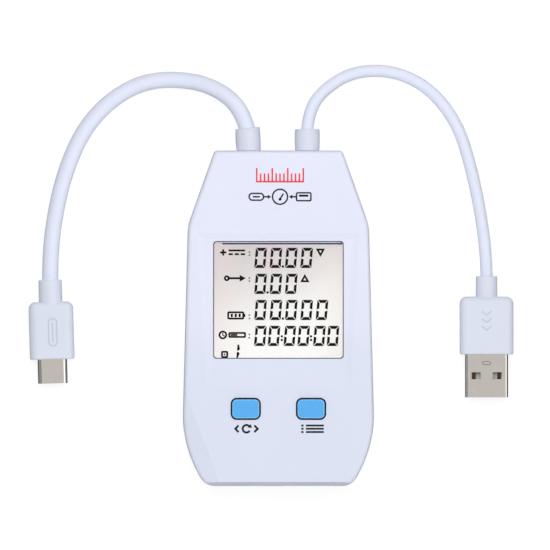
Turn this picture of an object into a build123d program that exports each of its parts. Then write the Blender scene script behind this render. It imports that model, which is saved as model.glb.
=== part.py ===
"""In-line USB power meter: a two-part case with a display, two buttons and two short leads.

Millimetres. The meter lies on its back: +Z points out of the display, +Y towards the end that
the leads leave, and the origin is the middle of the case's back face.
"""
from build123d import *
from math import cos, pi, radians, sin, tan
import os

os.makedirs("parts", exist_ok=True)

# ------------------------------------------------------------------ case: driving dimensions
case_length = 93.7
case_width = 53.4            # across the knees, the widest place
case_height = 17.5
parting_z = 8.7              # where the two covers meet
wall = 2.0
floor_thickness = 2.0
face_thickness = 2.5         # at the upper end, the highest part of the face

top_width = 35.7             # sharp corners of the outline, before their radii
shoulder_width = 50.6
shoulder_above_opening = 4.4 # shoulder corner above the display opening
knee_rise = 19.15            # from the bottom end to the knee
bottom_width = 40.5
haunch_bulge = 1.5           # how far the side below the knee bows out
top_corner_radius = 1.3
shoulder_radius = 15.0
knee_radius = 5.0
bottom_corner_radius = 4.8

side_draft = 1.5             # degrees
end_wall_lean = 1.25         # how far the bottom end wall leans in at the face
end_lean_from = 13.2         # height that it leans from
rim_radius = 1.1
back_edge_radius = 1.6

facet_start_inset = 0.4      # the facets' crease starts this far inside the side
facet_above_knee = 8.25      # and this far above the knee
facet_end_width = 31.8       # and ends this wide, at the bottom end
facet_fall = 12.0            # degrees

pan_depth = 0.3              # shallow pan that the display lies in
pan_top_width = 45.2
pan_bottom_width = 40.0
pan_above_opening = 2.2      # pan's edge beyond the display opening
pan_below_opening = 7.7
pan_top_slope = 1.7          # how far its sides run in
pan_side_slope = 1.4
pan_bottom_slope = 5.6

lip_thickness = 0.9          # tongue on the rear cover, inside the front cover's groove
lip_height = 1.2
lip_clearance = 0.05

# ------------------------------------------------------------------ display
opening_width = 36.4
opening_height = 32.8
opening_radius = 0.9
window_recess = 0.85         # window surface below the display field
window_gap = 0.15            # round the raised part of the window
window_flange = 1.0          # ledge of the window behind the cover
window_rise = 0.3            # raised part of the window above its flange
window_seat_gap = 0.05
polariser_thickness = 0.2
polariser_margin = 0.9       # polariser beyond the opening
glass_thickness = 0.7
cell_gap = 0.1
segment_thickness = 0.1
glass_margin = 1.9           # glass beyond the opening
contact_ledge = 3.4          # front glass beyond the rear glass, over the zebra strip
seal_width = 0.8
guide_thickness = 2.0
holder_wall = 1.4
holder_gap = 0.2
holder_above_keys = 3.2      # from the keys' flanges to the holder
holder_ledge = 1.0
holder_ledge_width = 2.2
zebra_thickness = 2.0
layer_gap = 0.02             # thin air between stacked sheets

# ------------------------------------------------------------------ display characters
digit_width = 2.35           # between stroke centres
digit_height = 4.78
stroke = 0.74                # of the upright strokes
level_stroke = 0.86
stroke_gap = 0.12            # between strokes that meet at a mitre
stroke_notch = 0.42          # from the middle of a figure to the inner corner of an upright
slant = 5.0                  # degrees
digit_left = -6.15           # stroke centre of the first digit in each row
digit_pitch = 4.285
row_rise = (11.72, 4.48, -2.81, -10.04)     # middle of each row of digits above the display's
row_digits = (4, 3, 5)
row_point_after = (1, 0, 1)
clock_lefts = (-6.22, -2.39, 2.0, 5.88, 10.26, 14.06)
clock_colons = (0.95, 9.1)
point_size = 0.62
colon_dot = 0.6
colon_half_gap = 0.5
colon_drop = 0.63            # middle of the colons below the digits'
count_x = -11.2              # the single figure at the bottom left
count_drop = 14.3            # middle of it below the display's
count_height = 3.2

# ------------------------------------------------------------------ buttons and switches
button_x = 9.1
cap_width = 7.75
cap_depth = 5.5
cap_radius = 1.4
cap_edge_radius = 0.45
cap_gap = 0.35
cap_proud = 0.8
button_flange = 1.1          # flange beyond the cap, behind the cover
button_flange_thickness = 0.7
button_rest_gap = 0.05
stem_width = 4.0
stem_depth = 3.2
press_travel = 0.5
switch_side = 6.0
switch_above_socket = 4.25   # from the back of the USB-A socket
switch_base_height = 3.5
switch_height = 5.0          # to the plunger's top
plunger_radius = 1.75
plunger_clearance = 0.05
switch_floor = 1.2           # solid bottom of the switch body
switch_chamfer = 0.3
pocket_spare = 0.3           # room under the plunger when fully pressed
lead_width = 0.7
lead_thickness = 0.2
lead_pitch = 4.5
lead_rise = 1.2
lead_reach = 1.5

# ------------------------------------------------------------------ circuit board
board_bottom = 4.8
board_thickness = 1.6
board_gap = 0.4              # board to the inside of the wall
board_lead_end_gap = 4.1     # board edge back from the outer face of the top end
boss_radius = 2.6
post_radius = 3.2
screw_x_top = 14.8
screw_below_top_end = 8.35
screw_x_bottom = 19.3
screw_above_bottom_end = 10.85
screw_radius = 1.0
screw_length = 8.0
screw_clearance = 0.15
thread_clearance = 0.02
head_radius = 2.0
head_height = 1.4
head_clearance = 0.2
counterbore_depth = 2.2
drive_radius = 0.9
drive_slot = 0.45
drive_depth = 0.8
head_edge_radius = 0.35

led_pitch_x = 12.0
led_pitch_y = 23.0           # the chips lie between the two rows
led_length = 3.5
led_width = 2.8
led_height = 1.9
chip_standoff = 0.12
chip_height = 1.3
chip_chamfer = 0.15
chip_dot_inset = 0.9
chip_dot_radius = 0.35
chip_dot_depth = 0.05
chip_lead_length = 1.6
lead_share = 0.5             # lead width over lead pitch
controller_x = -7.0
controller_side = 7.0
controller_lead_count = 12
controller_lead_pitch = 0.5
protocol_x = 9.0
protocol_length = 5.0
protocol_width = 4.0
protocol_lead_count = 4
protocol_lead_pitch = 1.27
shunt_xs = (-11.5, 9.5)
shunt_above_leds = 1.25
shunt_length = 6.3
shunt_width = 3.1
shunt_height = 0.8
capacitor_xs = (-3.0, 2.5)   # in two rows between the shunts
capacitor_row_pitch = 2.8
key_capacitor_x = 18.5       # one beside each switch
capacitor_length = 3.2
capacitor_width = 1.6
capacitor_height = 1.4
crystal_below_keys = 8.3
crystal_length = 1.8
crystal_width = 5.0
crystal_height = 0.9
block_chamfer = 0.2
key_parts_drop = 0.8         # inductor and capacitors by the keys, below their centre
inductor_side = 4.6
inductor_corner = 1.0
inductor_height = 2.4

# ------------------------------------------------------------------ sockets in the bottom end
socket_recess = 0.4          # mouth behind the end wall's outer face
socket_wall_gap = 0.2
socket_a_x = 8.5
socket_a_width = 13.1
socket_a_height = 5.7
socket_a_length = 14.0
socket_a_sheet = 0.3
socket_a_block = 4.6
tongue_a_width = 11.1
tongue_a_thickness = 1.8
tongue_a_below_top = 0.95
tongue_a_back = 0.5          # tongue and contacts step back from the mouth by this
contact_a_xs = (-3.5, -1.0, 1.0, 3.5)
contact_a_width = 1.0
contact_thickness = 0.12
socket_c_x = -9.5
socket_c_width = 8.94
socket_c_height = 3.26
socket_c_length = 7.5
socket_c_sheet = 0.25
socket_c_block = 2.4
tongue_c_width = 6.7
tongue_c_thickness = 0.7
tongue_c_back = 0.6
contact_c_pitch = 0.5
contact_c_width = 0.26
contact_c_thickness = 0.05
contact_c_count = 12

# ------------------------------------------------------------------ leads and plugs
gland_z = parting_z
type_c_gland_x = -8.3
usb_a_gland_x = 8.05
gland_root_radius = 3.35
gland_belly_radius = 3.5
gland_tip_radius = 3.4
gland_neck_radius = 2.9
gland_neck_gap = 0.05
gland_flange_radius = 4.0
gland_flange_thickness = 1.4
gland_tip_round = 0.3
wire_radius = 0.55
wire_spread = 0.65
wire_fan = 0.7               # how far the outer wires spread on the board
wire_runs = (2.2, 4.0, 7.5)  # back from the gland: bend down, touch the board, end
wire_bend = 1.2

type_c_cord_diameter = 4.5
usb_a_cord_diameter = 3.4
least_bend = 3.0             # limp leads: the tightest bend, in cord diameters
bend_share = 0.49            # of the shorter run beside a bend

# Each lead's points: across, beyond the end that it leaves, and up.
type_c_points = [
    (-8.63, 6.3, 8.7), (-9.27, 12.33, 8.7), (-12.31, 17.62, 7.98), (-17.45, 21.35, 6.4),
    (-26.0, 22.65, 3.8), (-36.0, 21.15, 2.3), (-45.6, 15.85, 2.3), (-53.5, 7.35, 2.3),
    (-59.2, -3.85, 2.3), (-62.6, -16.65, 2.4), (-64.03, -29.65, 3.5), (-63.85, -36.15, 3.5),
]
usb_a_points = [
    (8.05, 6.0, 8.7), (8.05, 11.25, 8.7), (10.2, 16.55, 7.8), (14.9, 20.85, 6.1),
    (22.7, 23.25, 3.3), (32.6, 22.45, 1.7), (41.8, 17.85, 1.7), (49.1, 8.55, 1.7),
    (53.5, -3.85, 1.7), (56.3, -16.75, 2.1), (58.2, -28.65, 4.0), (58.2, -35.05, 4.0),
]

type_c_plug_turn = 1.6       # degrees away from straight down the table
type_c_sleeve_length = 6.1
type_c_sleeve_tip = 3.25
type_c_sleeve_root = 3.3
type_c_body_width = 12.45
type_c_body_thickness = 7.0
type_c_body_length = 16.1
type_c_body_radius = 2.4
type_c_body_end_radius = 1.9
type_c_shell_width = 8.25
type_c_shell_height = 2.4
type_c_shell_length = 6.7
type_c_shell_sheet = 0.25
type_c_cavity_width = 6.9
type_c_cavity_height = 0.95
type_c_cavity_depth = 5.6

usb_a_plug_turn = 0.0
usb_a_sleeve_length = 5.75
usb_a_sleeve_tip = 2.97
usb_a_sleeve_root = 3.02
usb_a_body_width = 15.0
usb_a_body_thickness = 8.0
usb_a_body_length = 16.15
usb_a_body_radius = 2.2
usb_a_body_end_radius = 1.95
usb_a_shell_width = 12.0
usb_a_shell_height = 4.5
usb_a_shell_length = 12.0
usb_a_shell_sheet = 0.3
usb_a_shell_radius = 0.8
usb_a_window_width = 2.55
usb_a_window_length = 1.95
usb_a_window_spread = 5.92
usb_a_window_from_body = 5.95
usb_a_insert_height = 1.9
usb_a_insert_short = 0.4

plug_root_depth = 3.0        # shell inside the overmould
sleeve_tip_round = 0.2
sleeve_root_depth = 1.9      # sleeve inside the grip
contact_a_back = 1.6
type_c_insert_short = 0.25
type_c_shell_round = 0.08
contact_c_back = 0.5
body_shell_end_radius = 0.5
shell_dimple_width = 2.4     # pressed mark on the USB-A shell, between its windows and the grip
shell_dimple_length = 1.05
shell_dimple_depth = 0.2     # its sides slope as much
shell_dimple_from_body = 2.4

# ------------------------------------------------------------------ worked out from the above
half_length = case_length / 2
display_field_z = case_height - pan_depth
ceiling_z = case_height - face_thickness
board_top = board_bottom + board_thickness
inner_end = half_length - wall
screw_places = [
    (-screw_x_top, half_length - screw_below_top_end),
    (screw_x_top, half_length - screw_below_top_end),
    (-screw_x_bottom, -half_length + screw_above_bottom_end),
    (screw_x_bottom, -half_length + screw_above_bottom_end),
]
type_c_route = [(x, half_length + beyond, z) for x, beyond, z in type_c_points]
usb_a_route = [(x, half_length + beyond, z) for x, beyond, z in usb_a_points]

# Up the case from its bottom end: sockets, keys, display, shoulders.
socket_mouth_y = -half_length + socket_recess
button_y = socket_mouth_y + socket_a_length + switch_above_socket + switch_side / 2
glass_width = opening_width + 2 * glass_margin
glass_height = opening_height + 2 * glass_margin
front_glass_height = glass_height + contact_ledge
holder_height = front_glass_height + 2 * (holder_gap + holder_wall)
holder_foot_y = button_y + cap_depth / 2 + button_flange + holder_above_keys
front_glass_y = holder_foot_y + holder_height / 2
display_y = front_glass_y + contact_ledge / 2
shoulder_y = display_y + opening_height / 2 + shoulder_above_opening

window_top = display_field_z - window_recess
window_shoulder = window_top - window_rise
window_bottom = ceiling_z + window_seat_gap
polariser_top = ceiling_z - layer_gap
front_glass_top = polariser_top - polariser_thickness - layer_gap
cell_top = front_glass_top - glass_thickness
cell_bottom = cell_top - cell_gap
rear_glass_bottom = cell_bottom - glass_thickness
rear_polariser_top = rear_glass_bottom - layer_gap
guide_top = rear_polariser_top - polariser_thickness - layer_gap
guide_bottom = guide_top - guide_thickness

screw_tip_z = counterbore_depth + screw_length
head_z = counterbore_depth - head_height
flange_bottom = ceiling_z - button_rest_gap - button_flange_thickness
plunger_top = board_top + switch_height
pocket_floor = board_top + switch_floor

controller_place = (controller_x, display_y)
protocol_place = (protocol_x, display_y)
shunt_y = display_y + led_pitch_y / 2 + led_width / 2 + shunt_above_leds + shunt_width / 2
shunt_places = [(x, shunt_y) for x in shunt_xs]
capacitor_places = [
    (x, shunt_y + row * capacitor_row_pitch / 2) for x in capacitor_xs for row in (-1, 1)
] + [(side * key_capacitor_x, button_y - key_parts_drop) for side in (-1, 1)]
crystal_place = (0, button_y - crystal_below_keys)
inductor_place = (0, button_y - key_parts_drop)


def keep(piece, name):
    """Label a finished piece and write it."""
    piece.part.label = name
    export_step(piece.part, f"parts/{name}.step")


# ------------------------------------------------------------------ case outline
def case_outline(inset=0.0):
    """The case seen from the front, drawn in by an inset."""
    knee_y = -half_length + knee_rise
    half_top, half_bottom = top_width / 2, bottom_width / 2
    half_shoulder, half_knee = shoulder_width / 2, case_width / 2
    with BuildSketch() as outline:
        with BuildLine():
            SagittaArc((half_bottom, -half_length), (half_knee, knee_y), -haunch_bulge)
            Polyline(
                (half_knee, knee_y),
                (half_shoulder, shoulder_y),
                (half_top, half_length),
                (-half_top, half_length),
                (-half_shoulder, shoulder_y),
                (-half_knee, knee_y),
            )
            SagittaArc((-half_knee, knee_y), (-half_bottom, -half_length), -haunch_bulge)
            Line((-half_bottom, -half_length), (half_bottom, -half_length))
        make_face()
        for corner_y, radius in (
            (half_length, top_corner_radius),
            (shoulder_y, shoulder_radius),
            (knee_y, knee_radius),
            (-half_length, bottom_corner_radius),
        ):
            corners = outline.vertices().filter_by(lambda v: abs(v.Y - corner_y) < 0.01)
            fillet(corners, radius)
        if inset > 0:
            offset(amount=-inset, mode=Mode.REPLACE)
    return outline.sketch


def wall_openings():
    """Tools that cut the gland holes and the socket mouths through both covers."""
    top_face = Plane.XZ.offset(-half_length - wall)
    bottom_face = Plane.XZ.offset(half_length + wall)
    with BuildPart() as tools:
        with BuildSketch(top_face):
            with Locations((type_c_gland_x, gland_z), (usb_a_gland_x, gland_z)):
                Circle(gland_neck_radius + gland_neck_gap)
        extrude(amount=3 * wall)
        with BuildSketch(bottom_face):
            with Locations((socket_a_x, board_top + socket_a_height / 2)):
                Rectangle(socket_a_width + 2 * socket_wall_gap, socket_a_height + 2 * socket_wall_gap)
            with Locations((socket_c_x, board_top + socket_c_height / 2)):
                SlotOverall(
                    socket_c_width + 2 * socket_wall_gap,
                    socket_c_height + 2 * socket_wall_gap,
                )
        extrude(amount=-3 * wall)
    return tools.part


# ------------------------------------------------------------------ covers
def facet_plane():
    """Plane of the right-hand facet: through its crease, falling away to the outside."""
    knee_y = -half_length + knee_rise
    start = Vector(case_width / 2 - facet_start_inset, knee_y + facet_above_knee, case_height)
    end = Vector(facet_end_width / 2, -half_length, case_height)
    along = (end - start).normalized()
    outward = Vector(0, 0, 1).cross(along)
    fall = radians(facet_fall)
    normal = Vector(0, 0, 1) * cos(fall) + outward * sin(fall)
    return Plane(origin=start, x_dir=along, z_dir=normal)


def facet_tool():
    """Everything above the right-hand facet."""
    with BuildPart() as tool:
        with BuildSketch(facet_plane()):
            Rectangle(2 * case_width, case_width)
        extrude(amount=case_height)
    return tool.part


def rim_edges(cover):
    """Edges between the faces that look up and the walls."""
    upper_faces = [face for face in cover.faces() if face.normal_at(face.center()).Z > 0.9]
    upper_edges = [edge for face in upper_faces for edge in face.edges()]
    return [
        edge for edge in cover.edges()
        if sum(edge.is_same(other) for other in upper_edges) == 1
    ]


def front_cover():
    """Front cover: face with its pan, display opening and key holes, bosses and groove."""
    with BuildPart() as cover:
        with BuildSketch(Plane.XY.offset(parting_z)):
            add(case_outline())
        extrude(amount=case_height - parting_z, taper=side_draft)

        # Two facets fall away beside the keys, and the rim is rounded.
        add(facet_tool(), mode=Mode.SUBTRACT)
        add(facet_tool().mirror(Plane.YZ), mode=Mode.SUBTRACT)
        fillet(rim_edges(cover), rim_radius)

        # Above the sockets the bottom end wall leans in, up to a crisp edge.
        with BuildSketch(Plane.YZ):
            Polygon(
                (-half_length + (end_lean_from - parting_z) * tan(radians(side_draft)), end_lean_from),
                (-half_length + end_wall_lean, case_height),
                (-half_length - wall, case_height),
                (-half_length - wall, end_lean_from),
                align=None,
            )
        extrude(amount=case_width, both=True, mode=Mode.SUBTRACT)

        # Shallow pan round the display.
        pan_top = display_y + opening_height / 2 + pan_above_opening
        pan_bottom = display_y - opening_height / 2 - pan_below_opening
        with BuildSketch(Plane.XY.offset(case_height)):
            Polygon(
                (-pan_top_width / 2, pan_top),
                (-pan_bottom_width / 2, pan_bottom),
                (pan_bottom_width / 2, pan_bottom),
                (pan_top_width / 2, pan_top),
                align=None,
            )
        with BuildSketch(Plane.XY.offset(display_field_z)):
            Polygon(
                (-pan_top_width / 2 + pan_side_slope, pan_top - pan_top_slope),
                (-pan_bottom_width / 2 + pan_side_slope, pan_bottom + pan_bottom_slope),
                (pan_bottom_width / 2 - pan_side_slope, pan_bottom + pan_bottom_slope),
                (pan_top_width / 2 - pan_side_slope, pan_top - pan_top_slope),
                align=None,
            )
        loft(ruled=True, mode=Mode.SUBTRACT)

        # Hollow it, with a groove for the rear cover's tongue.
        with BuildSketch(Plane.XY.offset(parting_z)):
            add(case_outline(wall))
        extrude(amount=ceiling_z - parting_z, mode=Mode.SUBTRACT)
        with BuildSketch(Plane.XY.offset(parting_z)):
            add(case_outline(wall - lip_thickness - lip_clearance))
        extrude(amount=lip_height + lip_clearance, mode=Mode.SUBTRACT)

        # Screw bosses stand on the circuit board.
        with BuildSketch(Plane.XY.offset(board_top)):
            with Locations(*screw_places):
                Circle(boss_radius)
        extrude(amount=ceiling_z - board_top)
        with BuildSketch(Plane.XY.offset(board_top)):
            with Locations(*screw_places):
                Circle(screw_radius + thread_clearance)
        extrude(amount=screw_tip_z + screw_clearance - board_top, mode=Mode.SUBTRACT)

        # Display opening, with the pocket for the window's flange behind it.
        with BuildSketch(Plane.XY.offset(ceiling_z)):
            with Locations((0, display_y)):
                RectangleRounded(opening_width, opening_height, opening_radius)
        extrude(amount=face_thickness, mode=Mode.SUBTRACT)
        with BuildSketch(Plane.XY.offset(ceiling_z)):
            with Locations((0, display_y)):
                Rectangle(
                    opening_width + 2 * (window_flange + window_gap),
                    opening_height + 2 * (window_flange + window_gap),
                )
        extrude(amount=window_shoulder + window_seat_gap - ceiling_z, mode=Mode.SUBTRACT)

        # Key holes.
        with BuildSketch(Plane.XY.offset(ceiling_z)):
            with Locations((-button_x, button_y), (button_x, button_y)):
                RectangleRounded(
                    cap_width + 2 * cap_gap,
                    cap_depth + 2 * cap_gap,
                    cap_radius + cap_gap,
                )
        extrude(amount=face_thickness, mode=Mode.SUBTRACT)
        add(wall_openings(), mode=Mode.SUBTRACT)
    keep(cover, "front_cover")


def rear_cover():
    """Rear cover: tray with a tongue round its rim and four counterbored screw posts."""
    back_inset = parting_z * tan(radians(side_draft))
    with BuildPart() as cover:
        with BuildSketch():
            add(case_outline(back_inset))
        extrude(amount=parting_z, taper=-side_draft)
        fillet(cover.faces().sort_by(Axis.Z)[0].edges(), back_edge_radius)

        with BuildSketch(Plane.XY.offset(floor_thickness)):
            add(case_outline(wall))
        extrude(amount=parting_z - floor_thickness, mode=Mode.SUBTRACT)

        # Tongue along the inside of the rim.
        with BuildSketch(Plane.XY.offset(parting_z - lip_thickness)):
            add(case_outline(wall - lip_thickness))
            add(case_outline(wall), mode=Mode.SUBTRACT)
        extrude(amount=lip_thickness + lip_height)

        # Posts under the circuit board.
        with BuildSketch(Plane.XY.offset(floor_thickness)):
            with Locations(*screw_places):
                Circle(post_radius)
        extrude(amount=board_bottom - floor_thickness)
        with Locations(*[(x, y, 0) for x, y in screw_places]):
            with Locations(Rotation(180, 0, 0)):
                CounterBoreHole(
                    screw_radius + screw_clearance,
                    head_radius + head_clearance,
                    counterbore_depth,
                    depth=board_bottom,
                )
        add(wall_openings(), mode=Mode.SUBTRACT)
    keep(cover, "rear_cover")


def case_screws():
    """Four pan-head screws with cross slots, driven from the back."""
    with BuildPart() as screws:
        for x, y in screw_places:
            with BuildSketch(Plane.XY.offset(head_z)):
                with Locations((x, y)):
                    Circle(head_radius)
            extrude(amount=head_height)
        fillet(screws.faces().group_by(Axis.Z)[0].edges(), head_edge_radius)
        for x, y in screw_places:
            with BuildSketch(Plane.XY.offset(counterbore_depth)):
                with Locations((x, y)):
                    Circle(screw_radius)
            extrude(amount=screw_length)
            with BuildSketch(Plane.XY.offset(head_z)):
                with Locations((x, y)):
                    Rectangle(2 * drive_radius, drive_slot)
                    Rectangle(drive_slot, 2 * drive_radius)
            extrude(amount=drive_depth, mode=Mode.SUBTRACT)
    keep(screws, "case_screws")


# ------------------------------------------------------------------ display
def plate(name, bottom, thickness, width, height, middle_y=display_y, radius=0.0):
    """A flat rectangular sheet of the display stack."""
    with BuildPart() as sheet:
        with BuildSketch(Plane.XY.offset(bottom)):
            with Locations((0, middle_y)):
                if radius > 0:
                    RectangleRounded(width, height, radius)
                else:
                    Rectangle(width, height)
        extrude(amount=thickness)
    keep(sheet, name)


def display_window():
    """Clear window: a flange behind the cover and a raised middle in the opening."""
    with BuildPart() as window:
        with BuildSketch(Plane.XY.offset(window_bottom)):
            with Locations((0, display_y)):
                Rectangle(opening_width + 2 * window_flange, opening_height + 2 * window_flange)
        extrude(amount=window_shoulder - window_bottom)
        with BuildSketch(Plane.XY.offset(window_shoulder)):
            with Locations((0, display_y)):
                RectangleRounded(
                    opening_width - 2 * window_gap,
                    opening_height - 2 * window_gap,
                    opening_radius - window_gap,
                )
        extrude(amount=window_rise)
    keep(window, "display_window")


def figure_strokes(left, middle_y, height, names):
    """Mitred outlines of the named strokes of one slanted figure."""
    lean = tan(radians(slant))
    outer_x, inner_x = -stroke / 2, stroke / 2
    outer_y, inner_y = (height + level_stroke) / 2, (height - level_stroke) / 2
    level = [
        (outer_x + stroke_gap, outer_y),
        (inner_x + stroke_gap, inner_y),
        (digit_width - inner_x - stroke_gap, inner_y),
        (digit_width - outer_x - stroke_gap, outer_y),
    ]
    upright = [
        (outer_x, stroke_gap),
        (inner_x, stroke_notch),
        (inner_x, inner_y - stroke_gap),
        (outer_x, outer_y - stroke_gap),
    ]
    for name in names:
        outline = []
        for x, y in level if name in ("top", "bottom") else upright:
            if name in ("upper_right", "lower_right"):
                x = digit_width - x
            if name in ("bottom", "lower_left", "lower_right"):
                y = -y
            outline.append((left + x + y * lean, middle_y + y))
        if name in ("bottom", "lower_left", "upper_right"):
            outline.reverse()
        yield outline


def lcd_segments():
    """The lit segments: four rows of figures with their points and colons, and a counter."""
    zero = ("top", "bottom", "upper_left", "lower_left", "upper_right", "lower_right")
    strokes = []
    points = []
    lean = tan(radians(slant))
    for rise, count, point_after in zip(row_rise, row_digits, row_point_after):
        y = display_y + rise
        for index in range(count):
            left = digit_left + index * digit_pitch
            strokes += figure_strokes(left, y, digit_height, zero)
        point_x = digit_left + (point_after + 1) * digit_pitch - (digit_pitch - digit_width) / 2
        points.append((point_x - digit_height / 2 * lean, y - digit_height / 2))
    clock_y = display_y + row_rise[-1]
    for left in clock_lefts:
        strokes += figure_strokes(left, clock_y, digit_height, zero)
    colon_y = clock_y - colon_drop
    colons = [(x, colon_y + side * colon_half_gap) for x in clock_colons for side in (1, -1)]
    one = ("upper_left", "lower_left")
    strokes += figure_strokes(count_x, display_y - count_drop, count_height, one)
    with BuildPart() as segments:
        with BuildSketch(Plane.XY.offset(cell_bottom)):
            for outline in strokes:
                Polygon(*outline, align=None)
            with Locations(*points):
                Rectangle(point_size, point_size)
            with Locations(*colons):
                Rectangle(colon_dot, colon_dot)
        extrude(amount=segment_thickness)
    keep(segments, "lcd_segments")


def lcd_cell_seal():
    """Glue line between the two glass plates."""
    with BuildPart() as seal:
        with BuildSketch(Plane.XY.offset(cell_bottom)):
            with Locations((0, display_y)):
                Rectangle(glass_width, glass_height)
                Rectangle(
                    glass_width - 2 * seal_width,
                    glass_height - 2 * seal_width,
                    mode=Mode.SUBTRACT,
                )
        extrude(amount=cell_gap)
    keep(seal, "lcd_cell_seal")


def lcd_holder():
    """Frame on the circuit board that carries the light guide and boxes the glass in."""
    inner_width = glass_width + 2 * holder_gap
    inner_height = front_glass_height + 2 * holder_gap
    with BuildPart() as holder:
        with BuildSketch(Plane.XY.offset(board_top)):
            with Locations((0, front_glass_y)):
                Rectangle(inner_width + 2 * holder_wall, holder_height)
                Rectangle(inner_width, inner_height, mode=Mode.SUBTRACT)
        extrude(amount=polariser_top - board_top)
        ledge_x = inner_width / 2 - holder_ledge_width / 2
        with BuildSketch(Plane.XY.offset(guide_bottom - holder_ledge)):
            with Locations((-ledge_x, display_y), (ledge_x, display_y)):
                Rectangle(holder_ledge_width, glass_height)
        extrude(amount=holder_ledge)
    keep(holder, "lcd_holder")


def zebra_strip():
    """Rubber strip that joins the glass's contact ledge to the circuit board."""
    ledge_y = display_y - glass_height / 2 - contact_ledge / 2
    with BuildPart() as strip:
        with BuildSketch(Plane.XY.offset(board_top)):
            with Locations((0, ledge_y)):
                Rectangle(glass_width - 2 * seal_width, zebra_thickness)
        extrude(amount=cell_top - board_top)
    keep(strip, "zebra_strip")


def backlight_leds():
    """Six light sources under the light guide."""
    with BuildPart() as leds:
        with BuildSketch(Plane.XY.offset(board_top)):
            with Locations((0, display_y)):
                with GridLocations(led_pitch_x, led_pitch_y, 3, 2):
                    Rectangle(led_length, led_width)
        extrude(amount=led_height)
    keep(leds, "backlight_leds")


# ------------------------------------------------------------------ keys and switches
def key(name, x):
    """A blue key: cap, flange behind the cover and stem down to the switch."""
    with BuildPart() as button:
        with BuildSketch(Plane.XY.offset(flange_bottom)):
            with Locations((x, button_y)):
                RectangleRounded(
                    cap_width + 2 * button_flange,
                    cap_depth + 2 * button_flange,
                    cap_radius + cap_gap,
                )
        extrude(amount=button_flange_thickness)
        with BuildSketch(Plane.XY.offset(flange_bottom)):
            with Locations((x, button_y)):
                RectangleRounded(cap_width, cap_depth, cap_radius)
        extrude(amount=case_height + cap_proud - flange_bottom)
        fillet(button.faces().sort_by(Axis.Z)[-1].edges(), cap_edge_radius)
        with BuildSketch(Plane.XY.offset(plunger_top)):
            with Locations((x, button_y)):
                Rectangle(stem_width, stem_depth)
        extrude(amount=flange_bottom - plunger_top)
    keep(button, name)


def switch_body(name, x):
    """Square housing of a tactile switch, with the bore that its plunger runs in."""
    with BuildPart() as housing:
        with BuildSketch(Plane.XY.offset(board_top)):
            with Locations((x, button_y)):
                Rectangle(switch_side, switch_side)
        extrude(amount=switch_base_height)
        chamfer(housing.edges().filter_by(Axis.Z), switch_chamfer)
        with BuildSketch(Plane.XY.offset(pocket_floor)):
            with Locations((x, button_y)):
                Circle(plunger_radius + plunger_clearance)
        extrude(amount=board_top + switch_base_height - pocket_floor, mode=Mode.SUBTRACT)
    keep(housing, name)


def switch_plunger(name, x):
    """Round plunger of a tactile switch."""
    foot = pocket_floor + pocket_spare + press_travel
    with BuildPart() as plunger:
        with BuildSketch(Plane.XY.offset(foot)):
            with Locations((x, button_y)):
                Circle(plunger_radius)
        extrude(amount=plunger_top - foot)
    keep(plunger, name)


def switch_leads():
    """Four formed terminals on each switch, soldered to the board."""
    with BuildPart() as leads:
        for x in (-button_x, button_x):
            for side in (-1, 1):
                edge_x = x + side * switch_side / 2
                for y in (button_y - lead_pitch / 2, button_y + lead_pitch / 2):
                    with BuildSketch(Plane.XZ.offset(-y - lead_width / 2)):
                        Polygon(
                            (edge_x, board_top + lead_rise),
                            (edge_x, board_top + lead_rise - lead_thickness),
                            (edge_x + side * lead_thickness, board_top + lead_rise - lead_thickness),
                            (edge_x + side * lead_thickness, board_top),
                            (edge_x + side * lead_reach, board_top),
                            (edge_x + side * lead_reach, board_top + lead_thickness),
                            (edge_x + side * 2 * lead_thickness, board_top + lead_thickness),
                            (edge_x + side * 2 * lead_thickness, board_top + lead_rise),
                            align=None,
                        )
                    extrude(amount=lead_width)
    keep(leads, "switch_leads")


# ------------------------------------------------------------------ circuit board
def main_board():
    """Circuit board: follows the inside of the case, with a hole at each screw."""
    top_edge = half_length - board_lead_end_gap
    with BuildPart() as board:
        with BuildSketch(Plane.XY.offset(board_bottom)):
            add(case_outline(wall + board_gap))
            with Locations((0, top_edge)):
                Rectangle(
                    case_width, case_length,
                    align=(Align.CENTER, Align.MIN),
                    mode=Mode.SUBTRACT,
                )
            with Locations(*screw_places):
                Circle(screw_radius + screw_clearance, mode=Mode.SUBTRACT)
        extrude(amount=board_thickness)
    keep(board, "main_board")


def chip(name, x, y, side_x, side_y, height):
    """A moulded chip package that stands just off the board on its leads."""
    with BuildPart() as package:
        with BuildSketch(Plane.XY.offset(board_top + chip_standoff)):
            with Locations((x, y)):
                Rectangle(side_x, side_y)
        extrude(amount=height)
        chamfer(package.faces().sort_by(Axis.Z)[-1].edges(), chip_chamfer)
        with BuildSketch(Plane.XY.offset(board_top + chip_standoff + height)):
            with Locations((x - side_x / 2 + chip_dot_inset, y + side_y / 2 - chip_dot_inset)):
                Circle(chip_dot_radius)
        extrude(amount=-chip_dot_depth, mode=Mode.SUBTRACT)
    keep(package, name)


def chip_leads(name, x, y, side_x, side_y, count_x, count_y, pitch):
    """Rows of flat leads under the edges of a chip package."""
    with BuildPart() as leads:
        with BuildSketch(Plane.XY.offset(board_top)):
            for side in (-1, 1):
                if count_x:
                    with Locations((x, y + side * side_y / 2)):
                        with GridLocations(pitch, 1, count_x, 1):
                            Rectangle(pitch * lead_share, chip_lead_length)
                if count_y:
                    with Locations((x + side * side_x / 2, y)):
                        with GridLocations(1, pitch, 1, count_y):
                            Rectangle(chip_lead_length, pitch * lead_share)
        extrude(amount=chip_standoff)
    keep(leads, name)


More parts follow.
